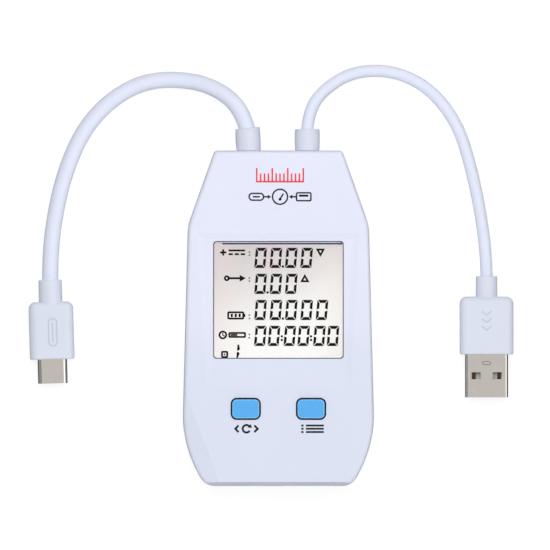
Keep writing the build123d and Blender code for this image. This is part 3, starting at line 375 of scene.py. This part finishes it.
def lcd_ground():
    """The cell's pale ground: cream below, greyer above, faintly rainbow-tinted, warm at its sides, and
    given a painted glow.
    """
    look = Look("lcd_ground")
    rise = look.sum("SUBTRACT", look.along("Y"), look.sum("MULTIPLY", look.along("X"), 0.36))
    drift = look.noise(26.0, detail=1.0)
    level = look.sum("ADD", rise, look.span(drift, 0.2, 0.8, -2.0, 2.0))
    grey_share = look.span(level, -9.0, 28.0)
    ground = look.blend(grey_share, LCD_CREAM, LCD_GREY)
    pink = look.span(look.noise(9.0, detail=2.0), 0.42, 0.68, 0.0, 0.42)
    green = look.span(look.noise(7.0, detail=2.0, factors=(1.3, 0.8, 1.0)), 0.5, 0.75, 0.0, 0.22)
    ground = look.blend(look.sum("MULTIPLY", pink, grey_share), ground, shade(236, 205, 214))
    ground = look.blend(look.sum("MULTIPLY", green, grey_share), ground, shade(205, 222, 214))
    aside = look.span(look.sum("ABSOLUTE", look.along("X"), 0.0), 8.0, 18.0, 0.0, 0.30)
    ground = look.blend(aside, ground, shade(238, 221, 211))
    grains = look.noise(0.22, detail=2.0, roughness=0.7)
    ground = look.blend(look.span(grains, 0.4, 0.7, 0.0, 0.10), ground, shade(190, 186, 186))
    dimmed = look.blend(LCD_DULL, ground, shade(0, 0, 0))
    gloss = look.span(grains, 0.3, 0.7, 0.5, 0.7)
    surface = look.principled(dimmed, gloss, look.relief(grains, 0.003, 0.4))
    shader = surface.node
    # painted light: the ground's own colour glows
    look.join(ground, shader.inputs["Emission Color"])
    shader.inputs["Emission Strength"].default_value = LCD_PAINTED_GLOW
    return look.finish(surface)


def ink(name, colour, roughness=0.5, mirror=0.3):
    """Printed ink: faintly uneven in cover and sheen."""
    look = Look(name)
    cover = look.noise(0.35, detail=4.0, roughness=0.7)
    tone = look.blend(look.span(cover, 0.35, 0.7, 0.0, 1.0), colour, toned(colour, 1.35))
    gloss = look.span(cover, 0.3, 0.7, roughness - 0.08, roughness + 0.08)
    surface = look.principled(tone, gloss, look.relief(cover, 0.003, 0.5), Specular_IOR_Level=mirror)
    return look.finish(surface)


# ------------------------------------------------------------------ inside
def circuit_board():
    """Solder mask over copper: tracks, a ground hatch and a grid of vias."""
    look = Look("circuit_board")
    mask = shade(22, 92, 58)
    copper = shade(64, 132, 84)
    hatch = look.node("ShaderNodeTexBrick")
    hatch.inputs["Scale"].default_value = 90.0
    hatch.inputs["Color1"].default_value = mask
    hatch.inputs["Color2"].default_value = toned(mask, 1.25)
    hatch.inputs["Mortar"].default_value = copper
    hatch.inputs["Mortar Size"].default_value = 0.03
    look.join(look.place, hatch.inputs["Vector"])
    vias = look.span(look.cells(3.1), 0.06, 0.10, 1.0, 0.0)
    tone = look.blend(vias, hatch.outputs["Color"], shade(196, 186, 150))
    weave = look.noise(0.5, detail=3.0)
    height = look.sum("ADD", hatch.outputs["Fac"], vias)
    surface = look.principled(
        tone, look.span(weave, 0.3, 0.7, 0.25, 0.40), look.relief(height, 0.03, 0.5), Coat_Weight=0.3
    )
    return look.finish(surface)


def grainy(name, colour, speck, size=0.2, roughness=0.7, depth=0.01, **constants):
    """A filled or ceramic body: two tones of grain."""
    look = Look(name)
    grains = look.noise(size, detail=4.0, roughness=0.7)
    tone = look.blend(look.span(grains, 0.4, 0.65), colour, speck)
    gloss = look.span(grains, 0.3, 0.7, roughness - 0.1, roughness + 0.08)
    return look.finish(look.principled(tone, gloss, look.relief(grains, depth, 0.5), **constants))


def striped_rubber():
    """Zebra strip: fine layers of carbon-filled and plain rubber."""
    look = Look("zebra_rubber")
    layers = look.node("ShaderNodeTexWave", bands_direction="X")
    layers.inputs["Scale"].default_value = 900.0
    look.join(look.place, layers.inputs["Vector"])
    tone = look.blend(layers.outputs["Fac"], shade(34, 34, 36), shade(196, 150, 150))
    fuzz = look.noise(0.3)
    gloss = look.span(fuzz, 0.3, 0.7, 0.6, 0.75)
    return look.finish(look.principled(tone, gloss, look.relief(fuzz, 0.01, 0.4)))


# ------------------------------------------------------------------ materials by node
case_look = case_plastic()
key_look = key_plastic()
grip_look = moulded("plug_grip", shade(221, 227, 241), roughness=0.42, grain=0.2, depth=0.010)
cord_look = jacket("cord_jacket", shade(229, 234, 252), 0.40)
relief_look = moulded("strain_relief", shade(220, 224, 237), roughness=0.44, grain=0.2, depth=0.010)
shell_look = sheet_metal("plug_shell", shade(220, 215, 207), 0.14)
socket_look = sheet_metal("socket_shell", shade(196, 196, 194), 0.28)
gold_look = sheet_metal("gold_contact", shade(232, 190, 110), 0.22, tarnish=0.06)
bronze_look = sheet_metal("bronze_contact", shade(92, 72, 56), 0.35)
screw_look = sheet_metal("screw_steel", shade(176, 178, 182), 0.32, grain_factors=(1.0, 1.0, 0.3))
solder_look = solder("tinned_leads")
window_look = clear_sheet("window_clear", (0.985, 0.988, 0.995, 1.0), 0.003, 0.004)
film_look = clear_sheet("polariser_film", (0.985, 0.985, 0.985, 1.0), 0.0005, 0.001)
glass_look = clear_sheet("cell_glass", (0.985, 0.99, 0.988, 1.0), 0.0005, 0.001)
ground_look = lcd_ground()
segment_look = ink("segment_black", shade(14, 13, 17), 0.6, 0.05)
seal_look = grainy("seal_epoxy", shade(208, 206, 196), shade(176, 172, 160), roughness=0.5)
guide_look = grainy("guide_acrylic", shade(238, 240, 240), shade(222, 226, 230), size=0.6, roughness=0.3)
holder_look = grainy("holder_white", shade(232, 232, 228), shade(212, 212, 208), roughness=0.55)
zebra_look = striped_rubber()
board_look = circuit_board()
package_look = grainy("package_black", shade(30, 30, 32), shade(52, 52, 56), size=0.12, roughness=0.65)
ceramic_look = grainy("ceramic_tan", shade(176, 140, 100), shade(148, 112, 78), roughness=0.5)
inductor_look = grainy("inductor_grey", shade(84, 84, 88), shade(120, 120, 122), size=0.15, roughness=0.75)
phosphor_look = grainy("led_phosphor", shade(240, 222, 120), shade(226, 204, 96), roughness=0.4)
insulator_black_look = grainy(
    "insulator_black", shade(26, 26, 28), shade(44, 44, 46), size=0.15, roughness=0.5
)
insulator_white_look = grainy(
    "insulator_white", shade(226, 226, 222), shade(206, 206, 200), size=0.2, roughness=0.5
)
wire_look = jacket("wire_insulation", shade(206, 60, 52), 0.38)

LOOKS = {
    case_look: ["front_cover", "rear_cover"],
    key_look: ["mode_button", "read_button"],
    grip_look: ["type_c_plug_body", "usb_a_plug_body", "type_c_plug_sleeve", "usb_a_plug_sleeve"],
    relief_look: ["type_c_gland", "usb_a_gland"],
    cord_look: ["type_c_cord", "usb_a_cord"],
    shell_look: ["type_c_plug_shell", "usb_a_plug_shell"],
    socket_look: ["usb_a_socket_shell", "usb_c_socket_shell"],
    gold_look: ["usb_a_socket_contacts", "usb_c_socket_contacts"],
    bronze_look: ["type_c_plug_contacts", "usb_a_plug_contacts"],
    screw_look: ["case_screws"],
    solder_look: ["switch_leads", "controller_leads", "protocol_leads"],
    window_look: ["display_window"],
    film_look: ["lcd_front_polariser", "lcd_rear_polariser"],
    glass_look: ["lcd_front_glass"],
    ground_look: ["lcd_rear_glass"],
    segment_look: ["lcd_segments"],
    seal_look: ["lcd_cell_seal"],
    guide_look: ["light_guide"],
    holder_look: ["lcd_holder"],
    zebra_look: ["zebra_strip"],
    board_look: ["main_board"],
    package_look: ["controller_chip", "protocol_chip", "current_shunts"],
    ceramic_look: ["ceramic_capacitors", "crystal"],
    inductor_look: ["power_inductor"],
    phosphor_look: ["backlight_leds"],
    insulator_black_look: [
        "mode_switch_body", "read_switch_body", "mode_switch_plunger", "read_switch_plunger",
        "usb_a_socket_tongue", "usb_c_socket_tongue", "type_c_plug_insert",
    ],
    insulator_white_look: ["usb_a_plug_insert"],
    wire_look: ["type_c_lead_wires", "usb_a_lead_wires"],
}
for look_material, names in LOOKS.items():
    for node_name in names:
        for slot in nodes[node_name].material_slots:
            slot.material = look_material
for piece in (type_c_lead, usb_a_lead):
    piece.data.materials.append(cord_look)


# ------------------------------------------------------------------ flat marks
SHARPEST_MITRE = 0.35


def ribbon(points, width, closed=False):
    """A mitred stroke along points, as quads."""
    count = len(points)
    sides = []
    for index, (x, y) in enumerate(points):
        before = points[index - 1] if index > 0 or closed else None
        after = points[(index + 1) % count] if index < count - 1 or closed else None
        steps = [
            Vector((x - before[0], y - before[1])).normalized() if before else None,
            Vector((after[0] - x, after[1] - y)).normalized() if after else None,
        ]
        steps = [step for step in steps if step is not None]
        along = sum(steps, Vector((0, 0))).normalized()
        across = Vector((-along.y, along.x))
        reach = width / 2 / max(SHARPEST_MITRE, across.dot(Vector((-steps[0].y, steps[0].x))))
        step_x, step_y = across.x * reach, across.y * reach
        sides.append(((x + step_x, y + step_y), (x - step_x, y - step_y)))
    pairs = list(zip(sides, sides[1:] + sides[:1])) if closed else list(zip(sides, sides[1:]))
    return [[first[0], first[1], second[1], second[0]] for first, second in pairs]


def circle(x, y, radius, steps=28, start=0.0, end=360.0):
    """Points on a circle or an arc."""
    whole = end - start >= 360
    count = steps if whole else steps + 1
    return [
        (
            x + radius * cos(radians(start + (end - start) * i / steps)),
            y + radius * sin(radians(start + (end - start) * i / steps)),
        )
        for i in range(count)
    ]


def rounded_box(x, y, width, height, radius, steps=6):
    """Points round a box with round corners."""
    points = []
    for cx, cy, start in (
        (x + width / 2 - radius, y + height / 2 - radius, 0),
        (x - width / 2 + radius, y + height / 2 - radius, 90),
        (x - width / 2 + radius, y - height / 2 + radius, 180),
        (x + width / 2 - radius, y - height / 2 + radius, 270),
    ):
        points += circle(cx, cy, radius, steps, start, start + 90)
    return points


def bar(x, y, width, height):
    """A plain filled box."""
    return [(x - width / 2, y - height / 2), (x + width / 2, y - height / 2),
            (x + width / 2, y + height / 2), (x - width / 2, y + height / 2)]


def flat_piece(name, polygons, bottom, thickness, material, place=None):
    """Thin solid marks from polygons in millimetres; place moves them to their surface."""
    mesh = bpy.data.meshes.new(name)
    built = bmesh.new()
    for polygon in polygons:
        area = sum(
            x0 * y1 - x1 * y0 for (x0, y0), (x1, y1) in zip(polygon, polygon[1:] + polygon[:1])
        )
        outline = polygon if area > 0 else polygon[::-1]
        lower = [built.verts.new((x * MM, y * MM, bottom * MM)) for x, y in outline]
        upper = [built.verts.new((x * MM, y * MM, (bottom + thickness) * MM)) for x, y in outline]
        built.faces.new(lower[::-1])
        built.faces.new(upper)
        for index in range(len(outline)):
            following = (index + 1) % len(outline)
            built.faces.new((lower[index], lower[following], upper[following], upper[index]))
    if place:
        for vertex in built.verts:
            vertex.co = place(vertex.co)
    built.to_mesh(mesh)
    built.free()
    mesh.materials.append(material)
    piece = bpy.data.objects.new(name, mesh)
    scene.collection.objects.link(piece)
    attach(piece, "meter")
    return piece


FACE_Z = 17.5
INK_THICKNESS = 0.03
STROKE = 0.42
BOTH_SIDES = (-1, 1)
THREE = (-1, 0, 1)
ink_dark = ink("print_dark", shade(30, 32, 42), 0.5, 0.15)
ink_red = ink("print_red", shade(226, 52, 60))

# Measuring scale at the lead end, and the diagram of the two inputs under it.
SCALE_X, SCALE_Y = 0.45, 38.1
SCALE_TICKS = 13
SCALE_PITCH = 1.08
LONG_TICK = 3.6
SHORT_TICK = 2.1
marks = [bar(SCALE_X, SCALE_Y, SCALE_PITCH * (SCALE_TICKS - 1) + STROKE, STROKE)]
for index in range(SCALE_TICKS):
    tall = LONG_TICK if index % 4 == 0 else SHORT_TICK
    x = SCALE_X + (index - (SCALE_TICKS - 1) / 2) * SCALE_PITCH
    marks.append(bar(x, SCALE_Y + STROKE / 2 + tall / 2, STROKE, tall))
flat_piece("scale_print", marks, FACE_Z, INK_THICKNESS, ink_red)

DIAGRAM_X, DIAGRAM_Y = 0.45, 33.9
GAUGE_RADIUS = 2.1
NEEDLE_DROP = 0.7
INPUT_FROM_GAUGE = 6.6
INPUT_WIDTH = 4.0
marks = ribbon(circle(DIAGRAM_X, DIAGRAM_Y, GAUGE_RADIUS), STROKE, closed=True)
needle_y = DIAGRAM_Y - NEEDLE_DROP
marks += ribbon([(DIAGRAM_X, needle_y), (DIAGRAM_X + 0.95, DIAGRAM_Y + 0.9)], STROKE)
marks.append(circle(DIAGRAM_X, needle_y, 0.4, 14))
input_x = DIAGRAM_X - INPUT_FROM_GAUGE
marks += ribbon(rounded_box(input_x, DIAGRAM_Y, INPUT_WIDTH, 1.9, 0.9), STROKE, closed=True)
marks.append(bar(input_x, DIAGRAM_Y, 2.0, STROKE))
input_x = DIAGRAM_X + INPUT_FROM_GAUGE
marks += ribbon(rounded_box(input_x, DIAGRAM_Y, INPUT_WIDTH, 2.2, 0.3, 3), STROKE, closed=True)
marks.append(bar(input_x, DIAGRAM_Y + 0.3, 2.6, 0.6))
for side in BOTH_SIDES:
    tail_x, head_x = DIAGRAM_X + side * 4.4, DIAGRAM_X + side * 3.1
    marks += ribbon([(tail_x, DIAGRAM_Y), (head_x, DIAGRAM_Y)], STROKE)
    base_x, tip_x = DIAGRAM_X + side * 3.4, DIAGRAM_X + side * 2.5
    marks.append([(base_x, DIAGRAM_Y + 0.6), (base_x, DIAGRAM_Y - 0.6), (tip_x, DIAGRAM_Y)])
flat_piece("input_print", marks, FACE_Z, INK_THICKNESS, ink_dark)

# Signs under the keys: step through the pages, and a list.
CAPTION_Y = -30.75
SIGN_STROKE = 0.58
MODE_SIGN_X = -8.9
CYCLE_RADIUS = 1.05
CHEVRON_HALF_HEIGHT = 0.95
marks = ribbon(circle(MODE_SIGN_X, CAPTION_Y, CYCLE_RADIUS, 20, 30, 330), SIGN_STROKE)
arrow_head = ((0.35, 0.35), (1.55, 0.25), (1.2, 1.35))
marks.append([(MODE_SIGN_X + x, CAPTION_Y + y) for x, y in arrow_head])
for side in BOTH_SIDES:
    arm_x, point_x = MODE_SIGN_X + side * 2.2, MODE_SIGN_X + side * 3.1
    above, below = CAPTION_Y + CHEVRON_HALF_HEIGHT, CAPTION_Y - CHEVRON_HALF_HEIGHT
    marks += ribbon([(arm_x, above), (point_x, CAPTION_Y), (arm_x, below)], SIGN_STROKE)
flat_piece("mode_sign", marks, FACE_Z, INK_THICKNESS, ink_dark)

READ_SIGN_X = 9.6
LIST_PITCH = 0.9
LIST_STROKE = 0.52
marks = []
for row in THREE:
    marks.append(bar(READ_SIGN_X + 0.55, CAPTION_Y + row * LIST_PITCH, 5.0, LIST_STROKE))
    marks.append(bar(READ_SIGN_X - 2.9, CAPTION_Y + row * LIST_PITCH, 0.65, LIST_STROKE))
flat_piece("read_sign", marks, FACE_Z, INK_THICKNESS, ink_dark)

# Signs in the display cell, beside their rows of figures.
CELL_BOTTOM = 13.96
CELL_DEPTH = 0.1
LCD_STROKE = 0.52


def direct_current_sign(y):
    """A plus, and a whole line over a broken one."""
    plus_x, line_x = -15.4, -11.6
    lines = [bar(line_x, y + 0.55, 4.6, LCD_STROKE)]
    lines += [bar(line_x + step * 1.7, y - 0.5, 1.2, LCD_STROKE) for step in THREE]
    lines.append(bar(plus_x, y, 1.7, LCD_STROKE))
    return lines + [bar(plus_x, y + side * 0.55, LCD_STROKE, 0.65) for side in (1, -1)]


def flow_sign(y):
    """An arrow out of a ring."""
    shaft = ribbon([(-14.2, y), (-10.5, y)], LCD_STROKE + 0.05)
    head = [(-10.8, y + 0.95), (-10.8, y - 0.95), (-9.1, y)]
    return shaft + [head] + ribbon(circle(-14.4, y, 0.55, 16), LCD_STROKE, closed=True)


def charge_sign(y):
    """A battery with three bars."""
    battery_x = -11.9
    case = ribbon(rounded_box(battery_x, y, 4.2, 1.75, 0.25, 3), LCD_STROKE, closed=True)
    pole = bar(-9.45, y, 0.45, 0.85)
    return case + [pole] + [bar(battery_x + step * 1.1, y, 0.6, 0.95) for step in THREE]


def running_time_sign(y):
    """A clock beside a part-filled bar."""
    clock_x = -15.5
    face = ribbon(circle(clock_x, y, 0.95, 22), LCD_STROKE, closed=True)
    hands = ribbon([(clock_x, y + 0.6), (clock_x, y), (clock_x + 0.5, y - 0.35)], 0.3)
    frame_box = ribbon(rounded_box(-11.5, y, 4.4, 1.1, 0.2, 3), LCD_STROKE, closed=True)
    return face + hands + frame_box + [bar(-12.4, y, 1.9, 0.5)]


def memory_sign(y):
    """A square with a dot in it."""
    square_x = -15.0
    square = ribbon(rounded_box(square_x, y, 1.45, 1.45, 0.15, 3), LCD_STROKE, closed=True)
    return square + [bar(square_x, y, 0.45, 0.45)]


def unit_sign(x, y, tip):
    """A small triangle after a row; tip is 1 for point up."""
    base_y = y - tip * 0.8
    return ribbon([(x - 0.85, base_y), (x + 0.85, base_y), (x, y + tip * 0.75)], LCD_STROKE, closed=True)


def counter_strokes():
    """Straight leaning strokes over the counter's mitred ones."""
    x, y, lean, stroke = -11.25, -9.15, 0.0875, 0.46
    strokes = []
    for low, high in ((0.22, 1.80), (-1.80, -0.22)):
        strokes += ribbon([(x + low * lean, y + low), (x + high * lean, y + high)], stroke)
    return strokes


marks = direct_current_sign(18.4) + flow_sign(11.2) + charge_sign(0.82) + running_time_sign(-4.62)
marks += memory_sign(-10.05) + counter_strokes() + unit_sign(11.72, 18.4, -1) + unit_sign(7.37, 11.15, 1)
flat_piece("display_signs", marks, CELL_BOTTOM, CELL_DEPTH, segment_look)

COLON_X = -8.1
COLON_DOT = 0.42
COLON_YS = (18.48, 17.63, 11.22, 10.37, 0.92, -0.03, -4.47, -5.42)
marks = [bar(COLON_X, y, COLON_DOT, COLON_DOT) for y in COLON_YS]
faded_look = ink("segment_faded", shade(96, 94, 98))
flat_piece("display_colons", marks, CELL_BOTTOM, CELL_DEPTH, faded_look)

# A dark ring under the edge of the window: painted shade for the gap round the window.
OPENING = (36.4, 32.8)
DISPLAY_Y = 5.15
SHADE_RING_SHOWS = 0.26                               # inside the opening
SHADE_RING_UNDER = 0.9                                # under the cover
SHADE_RING_RADIUS = 0.8
PAINTED_EDGE_Z = 15.0
PAINTED_EDGE_THICKNESS = 0.035
inner, outer = (
    rounded_box(0, DISPLAY_Y, OPENING[0] + 2 * reach, OPENING[1] + 2 * reach, SHADE_RING_RADIUS)
    for reach in (-SHADE_RING_SHOWS, SHADE_RING_UNDER)
)
corners = list(zip(inner, outer))
marks = [[a, b, d, c] for (a, c), (b, d) in zip(corners, corners[1:] + corners[:1])]
# painted shade: a dark grey ring where the gap round the window lies in shade
gap_shade_look = ink("gap_shade_grey", shade(84, 88, 106), 0.7, 0.1)
flat_piece("window_gap_shade", marks, PAINTED_EDGE_Z, PAINTED_EDGE_THICKNESS, gap_shade_look)

# Along the window's upper edge: a painted shadow line between two painted highlights.
EDGE_X, EDGE_Y = 1.0, 20.8
# painted shadow cast by the opening's upper lip
top_shadow_look = ink("window_top_shadow", shade(34, 36, 74), 0.6, 0.1)
marks = [bar(EDGE_X, EDGE_Y, 33.4, 0.4)]
flat_piece("window_top_shadow_line", marks, PAINTED_EDGE_Z, PAINTED_EDGE_THICKNESS, top_shadow_look)
# painted highlights on either side of the painted shadow
glint_look = ink("window_top_glint", shade(240, 241, 246), 0.5, 0.2)
marks = [bar(EDGE_X, EDGE_Y + side * 0.32, 34.0, 0.22) for side in (1, -1)]
flat_piece("window_top_glint", marks, PAINTED_EDGE_Z, PAINTED_EDGE_THICKNESS, glint_look)

# Raised marks on the two grips.
GRIP_RELIEF = 0.10
TYPE_C_GRIP_Z = 7.0
USB_A_GRIP_Z = 8.0
TYPE_C_TURN = 1.6
TYPE_C_END = Vector((-63.85 * MM, 10.7 * MM, 0))
USB_A_X = 58.2


def on_type_c_grip(point):
    """Turn a mark drawn about the plug's axis, Y up, onto the Type-C plug."""
    angle = radians(TYPE_C_TURN)
    return Vector((
        TYPE_C_END.x + point.x * cos(angle) - point.y * sin(angle),
        TYPE_C_END.y + point.x * sin(angle) + point.y * cos(angle),
        point.z,
    ))


mark_look = moulded("grip_mark", shade(196, 202, 219), roughness=0.42, grain=0.2, depth=0.010)
slot_x, slot_y, slot_stroke = 0.4, -14.6, 0.3
marks = ribbon(rounded_box(slot_x, slot_y, 2.3, 7.6, 1.1), slot_stroke, closed=True)
marks += ribbon([(slot_x, slot_y - 2.6), (slot_x, slot_y + 2.6)], slot_stroke)
flat_piece("type_c_grip_mark", marks, TYPE_C_GRIP_Z, GRIP_RELIEF, mark_look, on_type_c_grip)
marks = []
for step in range(3):
    y = 2.0 - step * 2.1
    marks += ribbon([(USB_A_X - 1.3, y), (USB_A_X, y - 1.1), (USB_A_X + 1.3, y)], 0.32)
flat_piece("usb_a_grip_mark", marks, USB_A_GRIP_Z, GRIP_RELIEF, mark_look)

# Painted shade round the edge of the pressed mark on the USB-A shell.
SHELL_TOP_Z = 6.25
PRESSED_Y = -12.5
marks = ribbon(rounded_box(USB_A_X, PRESSED_Y, 2.2, 0.88, 0.44, 5), 0.2, closed=True)
pressed_shade_look = ink("pressed_edge_shade", shade(126, 120, 114), 0.4, 0.3)
flat_piece("usb_a_shell_mark_shade", marks, SHELL_TOP_Z, 0.01, pressed_shade_look)

# ------------------------------------------------------------------ stage and light
FLOOR_SIZE = 6.0
FLOOR_DROP = 0.02
FLOOR_PLAIN = (0.72, 0.72, 0.74, 1.0)   # where it throws light back
FLOOR_SEEN = (0.22, 0.22, 0.22, 1.0)    # takes the shadow, under its glow
FLOOR_GLOW = 0.85
FLOOR_MIRRORED = (0.14, 0.14, 0.14, 1.0)
WORLD_LEVEL = 0.50
MIRROR_TOP = 0.95             # what metal and gloss reflect overhead
MIRROR_DARK = 0.14            # near the horizon, and in a gap to the left
MIRROR_LEFT = 0.50
MIRROR_STRIP = 2.2
OVERHEAD_FROM, OVERHEAD_FULL = 0.35, 0.60     # heights of the mirrored direction
LEFT_WALL = (-1.2, -0.50, 0.08)               # from, to and soft edge, across
LEFT_GAP = (-0.50, -0.32, 0.06)
STRIP = (0.34, 0.84, 0.04)
LAMP_AIM = Vector((0, 0.01, 0.01))
LAMPS = (                                     # name, place, side and power
    ("key_light", (-0.03, 0.18, 0.53), 0.40, 1.68),
    ("front_light", (0.0, -0.55, 0.20), 0.40, 0.60),
    ("fill_light", (0.40, 0.10, 0.60), 0.50, 0.65),
)


def make_floor():
    """Pale floor: white where it is seen, plain pale where it throws light back, dark in mirrors."""
    mesh = bpy.data.meshes.new("floor")
    half = FLOOR_SIZE / 2
    corners = [(-half, -half, 0), (half, -half, 0), (half, half, 0), (-half, half, 0)]
    mesh.from_pydata(corners, [], [(0, 1, 2, 3)])
    floor = bpy.data.objects.new("floor", mesh)
    floor.location.z = -FLOOR_DROP * MM
    scene.collection.objects.link(floor)
    material = bpy.data.materials.new("floor_pale")
    material.use_nodes = True
    tree = material.node_tree
    tree.nodes.clear()
    output = tree.nodes.new("ShaderNodeOutputMaterial")
    path = tree.nodes.new("ShaderNodeLightPath")

    def matt(colour):
        """A plain matt surface."""
        shader = tree.nodes.new("ShaderNodeBsdfDiffuse")
        shader.inputs["Color"].default_value = colour
        return shader.outputs["BSDF"]

    def chosen(switch, otherwise, surface):
        """The surface for one kind of ray."""
        mixer = tree.nodes.new("ShaderNodeMixShader")
        tree.links.new(path.outputs[switch], mixer.inputs[0])
        tree.links.new(otherwise, mixer.inputs[1])
        tree.links.new(surface, mixer.inputs[2])
        return mixer.outputs["Shader"]

    glow = tree.nodes.new("ShaderNodeEmission")
    glow.inputs["Strength"].default_value = FLOOR_GLOW
    seen = tree.nodes.new("ShaderNodeAddShader")
    tree.links.new(matt(FLOOR_SEEN), seen.inputs[0])
    tree.links.new(glow.outputs["Emission"], seen.inputs[1])
    thrown = chosen("Is Glossy Ray", matt(FLOOR_PLAIN), matt(FLOOR_MIRRORED))
    surface = chosen("Is Camera Ray", thrown, seen.outputs["Shader"])
    tree.links.new(surface, output.inputs["Surface"])
    mesh.materials.append(material)


def make_world():
    """White where the camera sees it, an even soft light elsewhere, a soft box in mirrors."""
    world = bpy.data.worlds.new("studio")
    scene.world = world
    world.use_nodes = True
    tree = world.node_tree
    tree.nodes.clear()
    output = tree.nodes.new("ShaderNodeOutputWorld")
    background = tree.nodes.new("ShaderNodeBackground")
    path = tree.nodes.new("ShaderNodeLightPath")
    place = tree.nodes.new("ShaderNodeTexCoord")
    parts = tree.nodes.new("ShaderNodeSeparateXYZ")
    tree.links.new(place.outputs["Generated"], parts.inputs["Vector"])

    def chosen(switch, otherwise, level):
        """The level where the switch is on."""
        mixer = tree.nodes.new("ShaderNodeMix")
        tree.links.new(switch, mixer.inputs[0])
        for source, socket in ((otherwise, mixer.inputs[2]), (level, mixer.inputs[3])):
            if isinstance(source, float):
                socket.default_value = source
            else:
                tree.links.new(source, socket)
        return mixer.outputs[0]

    def ramp(source, low, high, to_low, to_high):
        """A smooth step along one direction."""
        ranged = tree.nodes.new("ShaderNodeMapRange")
        ranged.interpolation_type = "SMOOTHSTEP"
        tree.links.new(source, ranged.inputs["Value"])
        for key, number in (
            ("From Min", low), ("From Max", high), ("To Min", to_low), ("To Max", to_high),
        ):
            ranged.inputs[key].default_value = number
        return ranged.outputs["Result"]

    def between(source, low, high, edge):
        """One inside a range, nothing outside."""
        both = tree.nodes.new("ShaderNodeMath")
        both.operation = "MULTIPLY"
        tree.links.new(ramp(source, low - edge, low + edge, 0.0, 1.0), both.inputs[0])
        tree.links.new(ramp(source, high - edge, high + edge, 1.0, 0.0), both.inputs[1])
        return both.outputs["Value"]

    # A wide soft box overhead, a bright strip to the right, and dim walls.
    mirrored = ramp(parts.outputs["Z"], OVERHEAD_FROM, OVERHEAD_FULL, MIRROR_DARK, MIRROR_TOP)
    for band, brightness in (
        (LEFT_WALL, MIRROR_LEFT), (LEFT_GAP, MIRROR_DARK), (STRIP, MIRROR_STRIP),
    ):
        mirrored = chosen(between(parts.outputs["X"], *band), mirrored, brightness)
    level = chosen(path.outputs["Is Glossy Ray"], WORLD_LEVEL, mirrored)
    level = chosen(path.outputs["Is Camera Ray"], level, 1.0)
    tree.links.new(level, background.inputs["Strength"])
    tree.links.new(background.outputs["Background"], output.inputs["Surface"])


def make_lamp(name, place, size, power):
    """A square soft lamp that faces the meter."""
    data = bpy.data.lights.new(name, "AREA")
    data.shape = "SQUARE"
    data.size = size
    data.energy = power
    lamp = bpy.data.objects.new(name, data)
    lamp.location = place
    lamp.rotation_mode = "QUATERNION"
    lamp.rotation_quaternion = (LAMP_AIM - lamp.location).to_track_quat("-Z", "Y")
    lamp.visible_camera = False
    lamp.visible_glossy = False
    scene.collection.objects.link(lamp)


make_floor()
make_world()
for lamp_values in LAMPS:
    make_lamp(*lamp_values)

bpy.context.view_layer.update()
